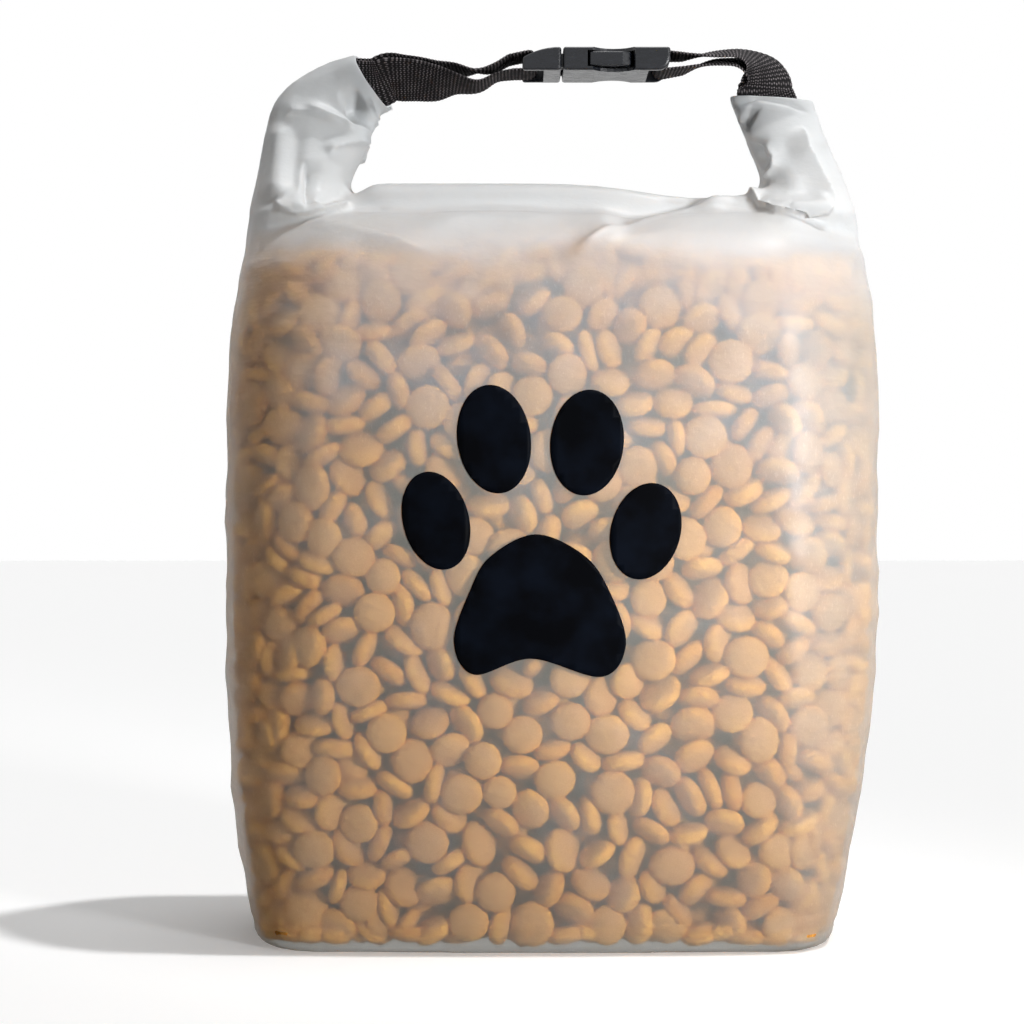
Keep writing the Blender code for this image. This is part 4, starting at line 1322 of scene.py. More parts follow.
@dataclass
class KibbleFill:
    """The kibble: pieces packed against the film in two layers, over a plain core painted dark as
    shade.
    """

    form: BagForm = field(default_factory=BagForm)
    radius: float = 0.0070
    half: float = 0.0033
    clearance: float = 0.0015
    wall_top: float = 0.2300
    heap_rise: float = 0.0085
    headroom: float = 0.006
    core_inset: float = 0.017
    seed: int = 17
    outer_facets: tuple[int, int] = (12, 6)
    inner_facets: tuple[int, int] = (10, 4)
    wall_tries: int = 16000
    level_tries: int = 2500
    crowding: float = 1.20
    ring_height: float = 0.12
    wall_foot: float = 0.006
    wall_rim: float = 0.002
    level_reach: Point2 = (0.104, 0.050)
    flat_lean: float = 0.20
    edge_lean: Point2 = (1.24, 0.34)
    radius_spread: float = 0.055
    half_spread: float = 0.07
    easing: float = 0.45
    tuck_turns: int = 6
    core_rows: int = 24
    core_lump: float = 0.0016

    def heap(self, x: np.ndarray, y: np.ndarray) -> np.ndarray:
        """Height of the heap's top at places across and through the bag."""
        crown = np.clip(1 - (x / 0.105) ** 2, 0, 1) * np.clip(1 - (y / 0.045) ** 2, 0, 1)
        return self.wall_top + self.heap_rise * crown + 0.002 * np.sin(x * 60 + 1.0)

    def thrown(self, chance: np.random.Generator, count: int, face: Face, flat: float) -> Discs:
        """Pieces thrown at random against a face of the fill.

        Args:
            chance: The random numbers.
            count: How many are tried.
            face: What they lie against.
            flat: Share of them that lies flat against it.

        Returns:
            The pieces that found room.
        """
        level = self.ring_height
        outline = self.form.ring(level, 0.0, self.form.section(level))
        ring = [np.array(point[:2]) for point in outline]
        picks = chance.integers(0, len(ring), size=count)
        kept: list[np.ndarray] = []
        grid: dict[tuple[int, int, int], list[np.ndarray]] = {}
        near = self.radius * self.crowding
        wide, deep = self.level_reach
        for pick in picks:
            if face is Face.WALL:
                share = chance.uniform()
                x, y = ring[pick] + (ring[(pick + 1) % len(ring)] - ring[pick]) * share
                height = chance.uniform(self.wall_foot, self.wall_top - self.wall_rim)
                spot = np.array([x, y, height])
            else:
                x = chance.uniform(-wide, wide)
                spot = np.array([x, chance.uniform(-deep, deep), 0.0])
            key = tuple((spot // near).astype(int))
            crowd = (
                other
                for a, b, c in NEIGHBOURS
                for other in grid.get((key[0] + a, key[1] + b, key[2] + c), ())
            )
            if any(np.sum((other - spot) ** 2) < near**2 for other in crowd):
                continue
            grid.setdefault(key, []).append(spot)
            kept.append(spot)
        middle = np.array(kept)
        size = len(middle)
        if face is Face.WALL:
            _, normal = self.form.wall_gap(middle)
        else:
            normal = np.tile([0.0, 0.0, 1.0 if face is Face.HEAP else -1.0], (size, 1))
        loose = chance.normal(size=(size, 3))
        tangent = loose - normal * np.sum(loose * normal, axis=1)[:, None]
        tangent /= np.linalg.norm(tangent, axis=1)[:, None]
        lies_flat = chance.uniform(size=size) < flat
        lean = np.where(lies_flat, chance.normal(0.0, self.flat_lean, size),
                        chance.normal(*self.edge_lean, size))
        axis = normal * np.cos(lean)[:, None] + tangent * np.sin(lean)[:, None]
        axis /= np.linalg.norm(axis, axis=1)[:, None]
        discs = Discs(
            middle,
            axis,
            self.radius * chance.normal(1.0, self.radius_spread, size),
            self.half * chance.normal(1.0, self.half_spread, size),
        )
        return self.pressed(discs, face, 0.0)

    def pressed(self, discs: Discs, face: Face, depth: float) -> Discs:
        """Puts pieces against a face of the fill.

        Args:
            discs: The pieces.
            face: What they lie against.
            depth: How deep behind the face they lie.

        Returns:
            The moved pieces.
        """
        middle = discs.middle
        up = np.tile([0.0, 0.0, 1.0], (len(middle), 1))
        if face is Face.WALL:
            gap, normal = self.form.wall_gap(middle)
            want = -(discs.support(normal) + self.room(middle) + depth)
            middle += normal * (want - gap)[:, None]
        elif face is Face.HEAP:
            middle[:, 2] = self.heap(middle[:, 0], middle[:, 1]) - discs.support(up) - depth
        else:
            middle[:, 2] = discs.support(up) + self.clearance + depth
        return self.held(discs)

    def room(self, middle: np.ndarray) -> np.ndarray:
        """Room left between pieces and the film, which grows towards the headspace."""
        return self.clearance + self.headroom * smoothstep(middle[:, 2], 0.190, 0.228)

    def held(self, discs: Discs) -> Discs:
        """Keeps pieces inside the film, above its base and below the heap's top.

        Args:
            discs: The pieces.

        Returns:
            The moved pieces.
        """
        middle = discs.middle
        up = np.tile([0.0, 0.0, 1.0], (len(middle), 1))
        gap, normal = self.form.wall_gap(middle)
        over = np.maximum(gap + discs.support(normal) + self.room(middle), 0)
        middle -= normal * over[:, None]
        rise = discs.support(up)
        lowest = rise + self.clearance
        highest = self.heap(middle[:, 0], middle[:, 1]) - rise
        middle[:, 2] = np.clip(middle[:, 2], lowest, np.maximum(highest, lowest))
        return discs

    def tucked(self, discs: Discs, skin: BVHTree) -> Discs:
        """Draws pieces back from the finished film wherever they would reach it.

        Args:
            discs: The pieces.
            skin: The film.

        Returns:
            The moved pieces.
        """
        for _ in range(self.tuck_turns):
            found = [skin.find_nearest(Vector(spot)) for spot in discs.middle]
            near = np.array([place for place, _, _, _ in found])
            away = np.array([normal for _, normal, _, _ in found])
            inside = np.sum((near - discs.middle) * away, axis=1)
            over = np.maximum(discs.support(away) + self.clearance - inside, 0.0)
            discs.middle -= away * over[:, None]
        return discs

    @staticmethod
    def meetings(places: np.ndarray, reach: float) -> tuple[np.ndarray, np.ndarray]:
        """Pairs of points that are closer than a reach.

        Args:
            places: A row per point.
            reach: The reach.

        Returns:
            The first and second index of each pair.
        """
        cells = np.floor(places / reach).astype(np.int64) + 200
        keys = (cells[:, 0] * 1000 + cells[:, 1]) * 1000 + cells[:, 2]
        order = np.argsort(keys, kind="stable")
        ordered = keys[order]
        pairs = []
        for a, b, c in NEIGHBOURS:
            wanted = keys + (a * 1000 + b) * 1000 + c
            start = np.searchsorted(ordered, wanted, "left")
            count = np.searchsorted(ordered, wanted, "right") - start
            first = np.repeat(np.arange(len(places)), count)
            skip = np.repeat(np.cumsum(count) - count, count)
            second = order[np.repeat(start, count) + np.arange(len(first)) - skip]
            pairs.append(np.vstack([first, second]))
        first, second = np.hstack(pairs)
        below = first < second
        return first[below], second[below]

    def spread(self, discs: Discs, fixed: Discs | None, face: Face, depth: float, turns: int,
               pressing: bool) -> Discs:
        """Pushes pieces apart until they hardly touch.

        Args:
            discs: The pieces that move.
            fixed: Pieces that stay where they are.
            face: What the moving pieces lie against.
            depth: How deep behind it they lie.
            turns: How often they are pushed.
            pressing: Whether they stay pressed against the face.

        Returns:
            The moved pieces.
        """
        count = len(discs.middle)
        for _ in range(turns):
            everything = discs.joined(fixed) if fixed else discs
            places, sizes, owner = everything.balls()
            first, second = self.meetings(places, 2 * self.half * 1.1)
            apart = places[first] - places[second]
            distance = np.linalg.norm(apart, axis=1)
            overlap = sizes[first] + sizes[second] - distance
            hit = (overlap > 0) & (owner[first] != owner[second])
            first, second, overlap = first[hit], second[hit], overlap[hit]
            push = apart[hit] / np.maximum(distance[hit], 1e-6)[:, None] * overlap[:, None]
            shift = np.zeros((len(everything.middle), 3))
            np.add.at(shift, owner[first], push)
            np.add.at(shift, owner[second], -push)
            touches = np.bincount(owner[first], minlength=len(shift)) + np.bincount(
                owner[second], minlength=len(shift)
            )
            shift /= np.maximum(touches, 1)[:, None] ** 0.5
            discs.middle += shift[:count] * self.easing
            discs = self.pressed(discs, face, depth) if pressing else self.held(discs)
        return discs

    def pebble(self, segments: int, rings: int) -> bpy.types.Mesh:
        """One piece of kibble of unit radius and unit half thickness: a fat disc.

        Args:
            segments: Segments round it.
            rings: Rings from top to bottom.

        Returns:
            Its mesh.
        """
        bm = bmesh.new()
        bmesh.ops.create_uvsphere(bm, u_segments=segments, v_segments=rings, radius=1.0)
        for vertex in bm.verts:
            x, y, z = vertex.co
            out = math.hypot(x, y)
            if out > MERGE_DISTANCE:
                wide = out**0.62
                vertex.co.x *= wide / out
                vertex.co.y *= wide / out
            vertex.co.z = math.copysign(abs(z) ** 0.85, z)
        return mesh_from(bm, "pebble")

    def heap_of(self, name: str, discs: Discs, chance: np.random.Generator,
                facets: tuple[int, int], finish: bpy.types.Material,
                *nodes: str) -> bpy.types.Object:
        """Makes one mesh of many pieces.

        Args:
            name: The piece's name.
            discs: The kibble pieces in it.
            chance: The random numbers.
            facets: Segments round each, and rings of each.
            finish: The material.
            *nodes: CAD nodes that it stands for.

        Returns:
            The piece.
        """
        pebble = self.pebble(*facets)
        coords = mesh_coords(pebble)
        sides = np.array([len(face.vertices) for face in pebble.polygons])
        corners = np.concatenate([np.array(face.vertices) for face in pebble.polygons])
        bpy.data.meshes.remove(pebble)
        copies = len(discs.middle)
        first, second = cross_axes(discs.axis)
        oval = chance.normal(0.0, 0.035, size=(copies, 1))
        radius = discs.radius[:, None]
        dome = chance.uniform(0.0, 0.16, size=(copies, 1))
        flat = 1 - np.hypot(coords[:, 0], coords[:, 1])[None, :] ** 2
        tall = coords[:, 2][None, :] * (1 + dome * flat) * discs.half[:, None] / (1 + dome)
        wide = coords[:, 0][None, :] * radius * (1 + oval)
        deep = coords[:, 1][None, :] * radius * (1 - oval)
        placed = (
            discs.middle[:, None, :]
            + wide[:, :, None] * first[:, None, :]
            + deep[:, :, None] * second[:, None, :]
            + tall[:, :, None] * discs.axis[:, None, :]
        ).reshape(-1, 3)
        mesh = bpy.data.meshes.new(name)
        mesh.vertices.add(len(placed))
        mesh.vertices.foreach_set("co", placed.astype(np.float32).ravel())
        offsets = np.repeat(np.arange(copies) * len(coords), len(corners))
        mesh.loops.add(len(corners) * copies)
        indices = np.tile(corners, copies) + offsets
        mesh.loops.foreach_set("vertex_index", indices.astype(np.int32))
        starts = np.cumsum(np.tile(sides, copies)) - np.tile(sides, copies)
        mesh.polygons.add(len(sides) * copies)
        mesh.polygons.foreach_set("loop_start", starts.astype(np.int32))
        mesh.polygons.foreach_set("use_smooth", np.ones(len(starts), dtype=bool))
        mesh.update(calc_edges=True)
        tint = np.repeat(np.clip(chance.beta(1.7, 2.4, size=copies), 0, 1), len(coords))
        paint(mesh, "tint", tint)
        paint(mesh, "rim", np.tile(1 - np.abs(coords[:, 2]), copies))
        return piece_of(name, mesh, finish, Slot.KIBBLE, *nodes)

    def build_core(self, finish: bpy.types.Material) -> bpy.types.Object:
        """Makes the plain body of kibble behind the pieces that show.

        Args:
            finish: Its material.

        Returns:
            The piece.
        """
        form = self.form
        rings = []
        top = self.wall_top - self.core_inset
        for row in range(self.core_rows + 1):
            height = self.core_inset + (top - self.core_inset) * row / self.core_rows
            rings.append(form.ring(height, self.core_inset, form.section(height)))
        section = form.section(top)
        for share in (0.8, 0.55, 0.3):
            shrunk = Section(section.left * share, section.right * share, section.depth * share,
                             section.corner * share, section.bow)
            height = top + self.heap_rise * (1 - share**2)
            rings.append(form.ring(height, self.core_inset * share, shrunk))
        bm = bmesh.new()
        loft(bm, rings)
        bmesh.ops.recalc_face_normals(bm, faces=bm.faces)
        mesh = mesh_from(bm, "kibble_core")
        coords = mesh_coords(mesh)
        lumps = ripple(coords, (0.012, 0.012, 0.012), 31, 30) * self.core_lump
        move_vertices(mesh, coords + mesh_normals(mesh) * lumps[:, None])
        for name in ("tint", "rim"):
            paint(mesh, name, np.ones(len(coords)))
        return piece_of("kibble_core", mesh, finish, Slot.KIBBLE)

    def build(self, skin: BVHTree, finish: bpy.types.Material,
              deep_finish: bpy.types.Material) -> None:
        """Makes all the kibble.

        Args:
            skin: The film that holds it.
            finish: Material of the pieces.
            deep_finish: Material of the core, darkened as painted shade.
        """
        chance = np.random.default_rng(self.seed)
        wall = self.thrown(chance, self.wall_tries, Face.WALL, 0.16)
        wall = self.spread(wall, None, Face.WALL, 0.0, 45, True)
        heap = self.thrown(chance, self.level_tries, Face.HEAP, 0.6)
        heap = self.spread(heap, wall, Face.HEAP, 0.0, 20, True)
        outer = self.tucked(wall.joined(heap), skin)
        LOG.info("outer kibble: %d against the wall, %d on the heap", len(wall.middle),
                 len(heap.middle))
        self.heap_of("kibble_outer", outer, chance, self.outer_facets, finish, "kibble_fill")
        behind = self.thrown(chance, self.wall_tries, Face.WALL, 0.45)
        behind = self.pressed(behind, Face.WALL, 0.0065)
        behind = self.spread(behind, outer, Face.WALL, 0.0, 18, False)
        floor = self.thrown(chance, self.level_tries, Face.FLOOR, 0.6)
        floor = self.spread(floor, outer, Face.FLOOR, 0.0, 14, True)
        under = self.thrown(chance, self.level_tries, Face.HEAP, 0.6)
        under = self.pressed(under, Face.HEAP, 0.006)
        inner = self.tucked(behind.joined(floor).joined(under), skin)
        LOG.info("inner kibble: %d", len(inner.middle))
        self.heap_of("kibble_inner", inner, chance, self.inner_facets, finish)
        self.build_core(deep_finish)


# Webbing


@dataclass(frozen=True)
class Ply:
    """A station of doubled webbing: its middle and its width direction.

    The middle's height is above the buckle's middle. spread is the distance of each ply from it,
    and twist turns the plies apart, in degrees.
    """

    centre: Point3
    across: Point3
    spread: float
    twist: float = 0.0


@dataclass
class WebbingLoop:
    """One doubled webbing strap from an ear's mouth round a bar of the buckle."""

    name: str
    node: str
    plies: tuple[Ply, ...]
    ear: tuple[EarSection, ...]
    grip_rings: int
    insets: Point2
    bar_x: float
    slot_side: int
    width: float = 0.0190
    thickness: float = 0.0012
    buckle_height: float = 0.301
    shoulder: float = 0.236
    sleeve_wall: float = 0.0011
    ply_offset: float = 0.0009
    wrap_radius: float = 0.0033
    rib_pitch: float = 0.00125
    yarn_pitch: float = 0.00087
    relief: float = 0.00034
    bead: float = 0.00028
    stagger: float = 0.175
    edge_from: float = 0.93
    edge_band: float = 0.07
    edge_thinning: float = 0.55
    columns: int = 88
    edge_columns: int = 3
    step: float = 0.00036
    spans: int = 6
    settling: int = 6

    def held(self) -> list[Ply]:
        """Stations of the webbing inside the ear and at its mouth."""
        base = Vector((0, 0, self.shoulder))
        outers = spline([base + Vector(item.outer) for item in self.ear], 2)
        inners = spline([base + Vector(item.inner) for item in self.ear], 2)
        plies = []
        for back, inset in zip((self.grip_rings, 0), self.insets, strict=True):
            inner = inners[-1 - back]
            across = (inner - outers[-1 - back]).normalized()
            centre = inner - across * (self.width / 2 + self.sleeve_wall + inset)
            centre.z -= self.buckle_height
            plies.append(Ply(tuple(centre), tuple(across), self.ply_offset))
        return plies

    def route(self) -> list[tuple[Vector, Vector]]:
        """Middle and width direction of the strap along its whole run."""
        plies = [*self.held(), *self.plies]
        base = Vector((0, 0, self.buckle_height))
        centres = spline([base + Vector(ply.centre) for ply in plies], self.spans)
        widths = spline([Vector(ply.across) for ply in plies], self.spans)
        turns = [Vector((ply.spread, math.radians(ply.twist), 0)) for ply in plies]
        gaps = spline(turns, self.spans)
        last = len(centres) - 1
        lower = []
        upper = []
        for index, (centre, width, gap) in enumerate(zip(centres, widths, gaps, strict=True)):
            along = (centres[min(index + 1, last)] - centres[max(index - 1, 0)]).normalized()
            across = (width - along * width.dot(along)).normalized()
            away = along.cross(across)
            turn = Matrix.Rotation(gap.y, 3, along)
            lower.append((centre - away * gap.x, turn @ across))
            upper.append((centre + away * gap.x, turn.transposed() @ across))
        flat = Vector((0, self.slot_side, 0))
        wrap = []
        for degrees in range(-75, 76, 15):
            angle = math.radians(degrees)
            point = Vector((
                self.bar_x + self.slot_side * self.wrap_radius * math.cos(angle),
                0.0,
                self.buckle_height + self.wrap_radius * math.sin(angle),
            ))
            wrap.append((point, flat))
        return [*lower, *wrap, *reversed(upper)]

    def resampled(self) -> tuple[list[Vector], list[Vector], float]:
        """The route at even steps.

        Returns:
            Middles, width directions and the strap's length.
        """
        route = self.route()
        runs = [0.0]
        for (a, _), (b, _) in zip(route, route[1:], strict=False):
            runs.append(runs[-1] + (b - a).length)
        length = runs[-1]
        count = round(length / self.step)
        middles = []
        widths = []
        span = 0
        for index in range(count + 1):
            run = length * index / count
            while span < len(runs) - 2 and runs[span + 1] < run:
                span += 1
            share = (run - runs[span]) / max(runs[span + 1] - runs[span], TINY)
            middles.append(route[span][0].lerp(route[span + 1][0], share))
            widths.append(route[span][1].lerp(route[span + 1][1], share).normalized())
        for _ in range(self.settling):
            middles = [middles[0], *[
                (a + b * 2 + c) / 4
                for a, b, c in zip(middles, middles[1:], middles[2:], strict=False)
            ], middles[-1]]
        return middles, widths, length

    def lane(self, column: int) -> Point2:
        """Where a column of the strap's ring lies.

        Args:
            column: The column, counted over the face, an edge, the back and the other edge.

        Returns:
            From 1 on the face to -1 on the back, and from 0 to 1 over the width.
        """
        side, rest = divmod(column, self.columns + self.edge_columns)
        sign = 1.0 - 2 * side
        if rest <= self.columns:
            share = rest / self.columns
            return sign, 1 - share if side else share
        return sign * math.cos(math.pi * (rest - self.columns) / self.edge_columns), 1.0 - side

    def weave(self, face: float, place: float, rib: float) -> tuple[float, float, float]:
        """The woven relief at a spot of the strap.

        Args:
            face: From 1 on the face to -1 on the back.
            place: From 0 to 1 over the width.
            rib: Ribs counted from the strap's start.

        Returns:
            Its reach across and out from the strap's middle, and how high the yarn lies there.
        """
        yarn = place * self.width / self.yarn_pitch
        crown = abs(math.sin(math.pi * yarn)) ** 0.7
        shifted = rib + self.stagger * (math.floor(yarn) % 2)
        rise = abs(math.sin(math.pi * shifted)) ** 0.8
        level = rise * (0.22 + 0.78 * crown)
        edge = place in (0.0, 1.0)
        beads = abs(math.sin(math.pi * rib)) * self.bead if edge else 0.0
        near_edge = max(0.0, abs(place - 0.5) * 2 - self.edge_from) / self.edge_band
        rim = 1 - self.edge_thinning * near_edge
        out = (self.thickness / 2 - self.relief + level * self.relief) * face * rim
        return (place - 0.5) * (self.width + 2 * beads), out, rise if edge else level

    def build(self, finish: bpy.types.Material) -> bpy.types.Object:
        """Makes the loop with its woven relief.

        Args:
            finish: Its material.

        Returns:
            The piece.
        """
        middles, widths, length = self.resampled()
        rows = len(middles) - 1
        around = 2 * (self.columns + self.edge_columns)
        lanes = [self.lane(column) for column in range(around)]
        spots: list[list[tuple[Vector, float]]] = []
        for row, (middle, across) in enumerate(zip(middles, widths, strict=True)):
            along = (middles[min(row + 1, rows)] - middles[max(row - 1, 0)]).normalized()
            across = (across - along * across.dot(along)).normalized()
            out = along.cross(across)
            rib = length * row / rows / self.rib_pitch
            ring = []
            for face, place in lanes:
                reach, thick, level = self.weave(face, place, rib)
                ring.append((middle + across * reach + out * thick, level))
            spots.append(ring)
        bm = bmesh.new()
        bmesh.ops.create_grid(bm, x_segments=around, y_segments=rows, size=0.5)
        layer = bm.verts.layers.float.new("weave")
        for vertex in bm.verts:
            column = round((vertex.co.x + 0.5) * around) % around
            vertex.co, vertex[layer] = spots[round((vertex.co.y + 0.5) * rows)][column]
        bmesh.ops.remove_doubles(bm, verts=bm.verts, dist=1e-7)
        bmesh.ops.holes_fill(bm, edges=[edge for edge in bm.edges if edge.is_boundary])
        bmesh.ops.recalc_face_normals(bm, faces=bm.faces)
        LOG.info("%s: %.0f mm of strap", self.name, length * 1000)
        return piece_of(self.name, mesh_from(bm, self.name), finish, Slot.WEBBING, self.node)


LEFT_PLIES = (
    Ply((-0.0568, 0, -0.0042), (0.30, 0.75, -0.56), 0.0014),
    Ply((-0.0525, 0, -0.0036), (0.20, 0.80, -0.50), 0.0022, -6),
    Ply((-0.0470, 0, -0.0032), (0.00, 0.90, -0.40), 0.0028, -12),
    Ply((-0.0400, 0, -0.0040), (0.00, 0.95, -0.30), 0.0028, -11),
    Ply((-0.0335, 0, -0.0043), (0.00, 0.99, -0.14), 0.0025, -4),
    Ply((-0.0262, 0, -0.0048), (0.00, 1.00, 0.05), 0.0027, -5),
    Ply((-0.0200, 0, -0.0028), (0.00, 1.00, 0.03), 0.0016),
    Ply((-0.0143, 0, -0.0008), (0.00, 1.00, 0.00), 0.0026),
)
RIGHT_PLIES = (
    Ply((0.0741, 0, -0.0062), (-0.96, -0.27, 0.00), 0.0012),
    Ply((0.0722, 0, -0.0016), (-0.78, -0.60, -0.12), 0.0016),
    Ply((0.0685, 0, 0.0012), (-0.54, -0.82, -0.20), 0.0017),
    Ply((0.0640, 0, 0.0025), (-0.30, -0.92, -0.28), 0.0016),
    Ply((0.0580, 0, 0.0024), (-0.08, -0.96, -0.28), 0.0014),
    Ply((0.0520, 0, 0.0016), (0.00, -0.98, -0.18), 0.0017),
    Ply((0.0460, 0, 0.0004), (0.00, -1.00, -0.05), 0.0024),
)


# Buckle


@dataclass
class Buckle:
    """The side-release buckle: both mouldings keep their CAD shape and get their finish."""

    halves: tuple[str, str] = ("buckle_prong_half", "buckle_socket_half")

    def dress(self, finish: bpy.types.Material) -> None:
        """Gives both halves their material.

        Args:
            finish: The material.
        """
        for name in self.halves:
            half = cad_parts[name]
            for slot in half.material_slots:
                slot.material = finish
            LOG.info("%s dressed", name)


# Printed paw


@dataclass(frozen=True)
class Toe:
    """One toe of the printed paw: an ellipse with its half axes and its lean in degrees."""

    name: str
    centre: Point2
    half_width: float
    half_height: float
    lean: float


@dataclass
class PawPrint:
    """The printed paw: five fields of ink that follow the front film."""

    proud: float = 0.00022
    thickness: float = 0.00012
    cell: float = 0.0025
    front: float = -0.058
    pad_spans: int = 12
    toe_points: int = 72
    toes: tuple[Toe, ...] = (
        Toe("paw_print_outer_left_toe", (-0.0386, 0.1422), 0.0107, 0.0162, 15),
        Toe("paw_print_inner_left_toe", (-0.0198, 0.1686), 0.0119, 0.0177, 8),
        Toe("paw_print_inner_right_toe", (0.0103, 0.1675), 0.0119, 0.0172, -6),
        Toe("paw_print_outer_right_toe", (0.0293, 0.1388), 0.0113, 0.0159, -15),
    )
    pad_centre: Point2 = (-0.0061, 0.1115)
    pad_outline: tuple[Point2, ...] = (
        (-0.0002, 0.0263),
        (0.0154, 0.0195),
        (0.0236, 0.0080),
        (0.0290, -0.0092),
        (0.0212, -0.0199),
        (-0.0016, -0.0140),
        (-0.0202, -0.0192),
        (-0.0267, -0.0085),
        (-0.0216, 0.0078),
        (-0.0150, 0.0190),
    )

    def field_of_ink(self, name: str, outline: list[Vector], film: BVHTree,
                     finish: bpy.types.Material) -> bpy.types.Object:
        """Makes one field of ink on the film.

        Args:
            name: The CAD node that it stands for.
            outline: Its outline, seen from the front.
            film: The film's skin.
            finish: The ink.

        Returns:
            The piece.
        """
        bm = bmesh.new()
        bm.faces.new([bm.verts.new(point) for point in outline])
        for axis in (Vector((1, 0, 0)), Vector((0, 0, 1))):
            ends = [point.dot(axis) for point in outline]
            spot = min(ends) + self.cell
            while spot < max(ends):
                geom = bm.verts[:] + bm.edges[:] + bm.faces[:]
                bmesh.ops.bisect_plane(bm, geom=geom, plane_co=axis * spot, plane_no=axis)
                spot += self.cell
        for vertex in bm.verts:
            start = Vector((vertex.co.x, -0.2, vertex.co.z))
            hit, _, _, _ = film.ray_cast(start, Vector((0, 1, 0)))
            vertex.co.y = (hit.y if hit else self.front) - self.proud
        bmesh.ops.recalc_face_normals(bm, faces=bm.faces)
        if sum(face.normal.y for face in bm.faces) > 0:
            bmesh.ops.reverse_faces(bm, faces=bm.faces)
        bmesh.ops.solidify(bm, geom=bm.faces[:], thickness=self.thickness)
        return piece_of(f"{name}_ink", mesh_from(bm, name), finish, Slot.PRINT, name)

    def build(self, skin: BVHTree, finish: bpy.types.Material) -> None:
        """Makes the pad and the four toes.

        Args:
            skin: The film that carries them.
            finish: The ink.
        """
        closed = [Vector((x + self.pad_centre[0], 0, z + self.pad_centre[1]))
                  for x, z in self.pad_outline]
        around = [closed[-1], *closed, closed[0], closed[1]]
        pad = spline(around, self.pad_spans)[self.pad_spans : -self.pad_spans]
        self.field_of_ink("paw_print_pad", pad[:-1], skin, finish)
        for toe in self.toes:
            turn = math.radians(toe.lean)
            outline = []
            for step in range(self.toe_points):
                angle = 2 * math.pi * step / self.toe_points
                x = toe.half_width * math.cos(angle)
                z = toe.half_height * math.sin(angle)
                outline.append(Vector((
                    toe.centre[0] + x * math.cos(turn) - z * math.sin(turn),
                    0,
                    toe.centre[1] + x * math.sin(turn) + z * math.cos(turn),
                )))
            self.field_of_ink(toe.name, outline, skin, finish)


# Studio


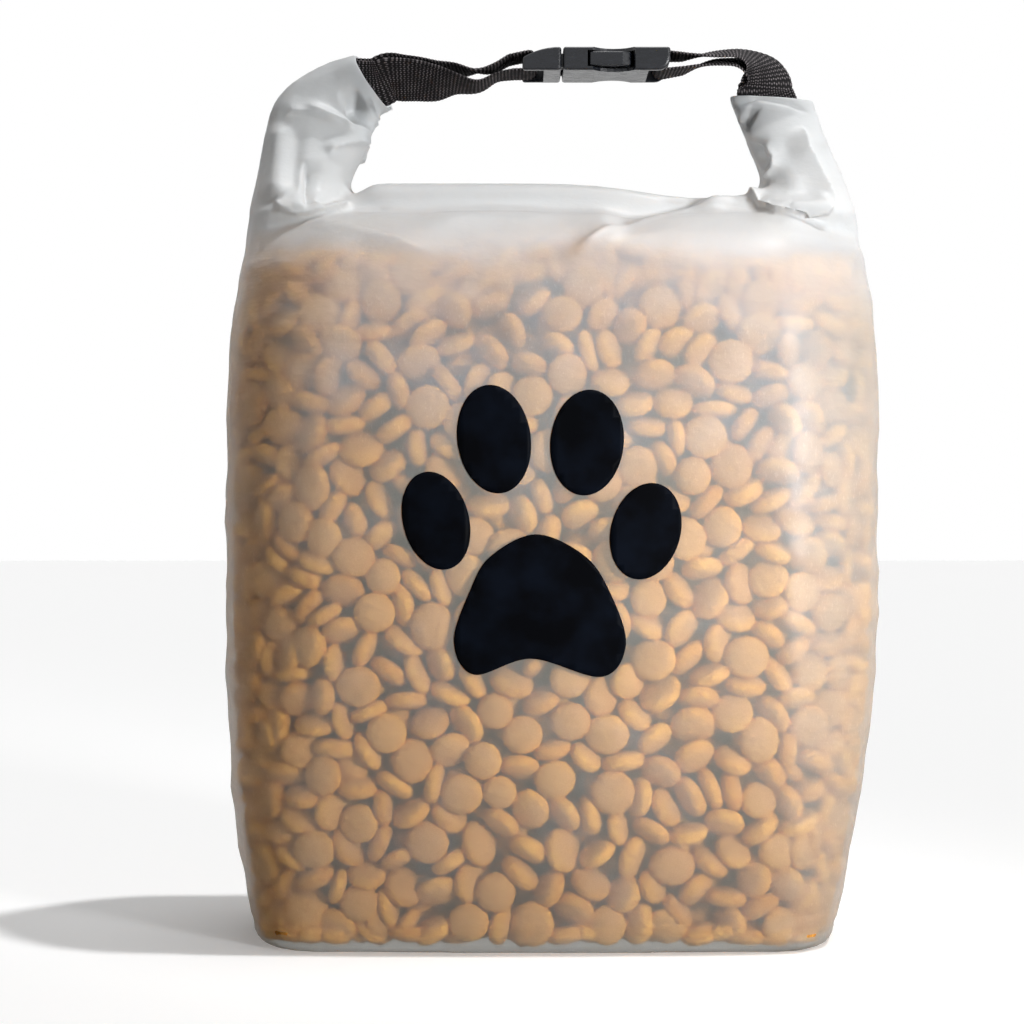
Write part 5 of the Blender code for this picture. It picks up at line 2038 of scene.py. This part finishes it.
@dataclass
class Studio:
    """Camera, floor, lamps and surroundings."""

    camera_place: Point3 = (-0.014, -0.80, 0.145)
    focal_length: float = 80.59
    sensor: float = 36.0
    near_clip: float = 0.01
    aim: Point3 = (0.0, 0.0, 0.13)
    surround: float = 0.06
    floor_half: float = 6.0
    floor_shade: float = 0.88
    floor_bounce: float = 0.10
    floor_glow: float = 0.22
    key_direction: Point3 = (0.34, -0.05, 0.90)
    key_strength: float = 1.75
    key_angle: float = 3.0
    top_direction: Point3 = (0.06, 0.04, 0.99)
    top_strength: float = 0.70
    top_angle: float = 24.0
    side_direction: Point3 = (0.66, -0.74, 0.10)
    side_distance: float = 0.90
    side_size: float = 0.20
    side_energy: float = 0.51
    grid_angle: float = 33.0
    grid_offset: Point3 = (0.06, 0.0, 0.01)

    def lamp(self, name: str, kind: str, energy: float, towards: Vector) -> bpy.types.Object:
        """Adds a lamp.

        Args:
            name: Its name.
            kind: Its type.
            energy: Its strength, or its power in watts.
            towards: From what it lights towards it.

        Returns:
            The lamp.
        """
        data = bpy.data.lights.new(name, kind)
        data.energy = energy
        lamp = bpy.data.objects.new(name, data)
        bpy.context.scene.collection.objects.link(lamp)
        lamp.rotation_euler = towards.to_track_quat("Z", "Y").to_euler()
        return lamp

    def build_lamps(self) -> None:
        """Makes two distant lamps for even shadows, and a soft one with a grid at the right."""
        for name, direction, strength, angle in (
            ("key_lamp", self.key_direction, self.key_strength, self.key_angle),
            ("top_lamp", self.top_direction, self.top_strength, self.top_angle),
        ):
            distant = self.lamp(name, "SUN", strength, Vector(direction))
            distant.data.angle = math.radians(angle)
        aim = Vector(self.aim)
        place = aim + Vector(self.side_direction).normalized() * self.side_distance
        side = self.lamp("side_lamp", "AREA", self.side_energy,
                         place - aim - Vector(self.grid_offset))
        side.location = place
        side.data.size = self.side_size
        side.data.spread = math.radians(self.grid_angle)

    def seen_directly(self, tree: bpy.types.NodeTree) -> bpy.types.NodeSocket:
        """1 for a ray from the camera, a gloss reflection or through the film, and else 0.

        Args:
            tree: The node tree that asks.

        Returns:
            The value.
        """
        path = tree.nodes.new("ShaderNodeLightPath")
        value = path.outputs["Is Camera Ray"]
        for name in ("Is Glossy Ray", "Is Transmission Ray"):
            add = tree.nodes.new("ShaderNodeMath")
            add.operation = "MAXIMUM"
            tree.links.new(value, add.inputs[0])
            tree.links.new(path.outputs[name], add.inputs[1])
            value = add.outputs[0]
        return value

    def build_world(self) -> None:
        """Makes the even white surroundings."""
        world = bpy.data.worlds.new("studio")
        bpy.context.scene.world = world
        world.use_nodes = True
        tree = world.node_tree
        background = tree.nodes["Background"]
        background.inputs["Color"].default_value = (1.0, 1.0, 1.0, 1.0)
        spread = tree.nodes.new("ShaderNodeMapRange")
        tree.links.new(self.seen_directly(tree), spread.inputs["Value"])
        spread.inputs["To Min"].default_value = self.surround
        spread.inputs["To Max"].default_value = 1.0
        tree.links.new(spread.outputs[0], background.inputs["Strength"])

    def build_floor(self) -> None:
        """Makes the pale floor, which looks white where no shadow falls."""
        bm = bmesh.new()
        bmesh.ops.create_grid(bm, x_segments=1, y_segments=1, size=self.floor_half)
        floor = bpy.data.objects.new("studio_floor", mesh_from(bm, "studio_floor", False))
        bpy.context.scene.collection.objects.link(floor)
        sheet = NodeSheet("studio_floor")
        seen = self.seen_directly(sheet.tree)
        shade = sheet.blend(seen, (self.floor_bounce,) * 3, (self.floor_shade,) * 3)
        glow = sheet.math("MULTIPLY", seen, self.floor_glow)
        sheet.finish(Base_Color=shade, Roughness=1.0, Specular_IOR_Level=0.0,
                     Emission_Color=(1.0, 1.0, 1.0, 1.0), Emission_Strength=glow)
        floor.data.materials.append(sheet.material)

    def build(self) -> None:
        """Makes the camera, the lamps, the floor and the surroundings."""
        scene = bpy.context.scene
        data = bpy.data.cameras.new("camera")
        data.lens = self.focal_length
        data.sensor_width = self.sensor
        data.sensor_fit = "HORIZONTAL"
        data.clip_start = self.near_clip
        camera = bpy.data.objects.new("camera", data)
        scene.collection.objects.link(camera)
        camera.location = self.camera_place
        camera.rotation_euler = (math.pi / 2, 0.0, 0.0)
        scene.camera = camera
        scene.view_settings.view_transform = "Standard"
        self.build_lamps()
        self.build_world()
        self.build_floor()


def main() -> None:
    """Builds the dressed model and its studio."""
    logging.basicConfig(level=logging.INFO, format="%(message)s", stream=sys.stdout)
    studio = Studio()
    studio.build()
    skin = FilmSkin()
    film = surface_of(skin.build(FrostedFilm().build()))
    # The core gets the kibble colours darkened to a quarter, as painted shade of the kibble deep
    # in the bag
    KibbleFill().build(film, BakedKibble().build(),
                       BakedKibble(name="kibble_core_scene", shade=0.25).build())
    webbing = RibbedWebbing().build()
    WebbingLoop("webbing_left", "webbing_loop_left", LEFT_PLIES, skin.left_ear, 1,
                (0.0044, 0.0026), -0.0087, 1).build(webbing)
    WebbingLoop("webbing_right", "webbing_loop_right", RIGHT_PLIES, skin.right_ear, 2,
                (0.0030, 0.0030), 0.0388, -1).build(webbing)
    Buckle().dress(BlackAcetal().build())
    PawPrint().build(film, BlackPrint().build())


if __name__ == "__main__":
    main()
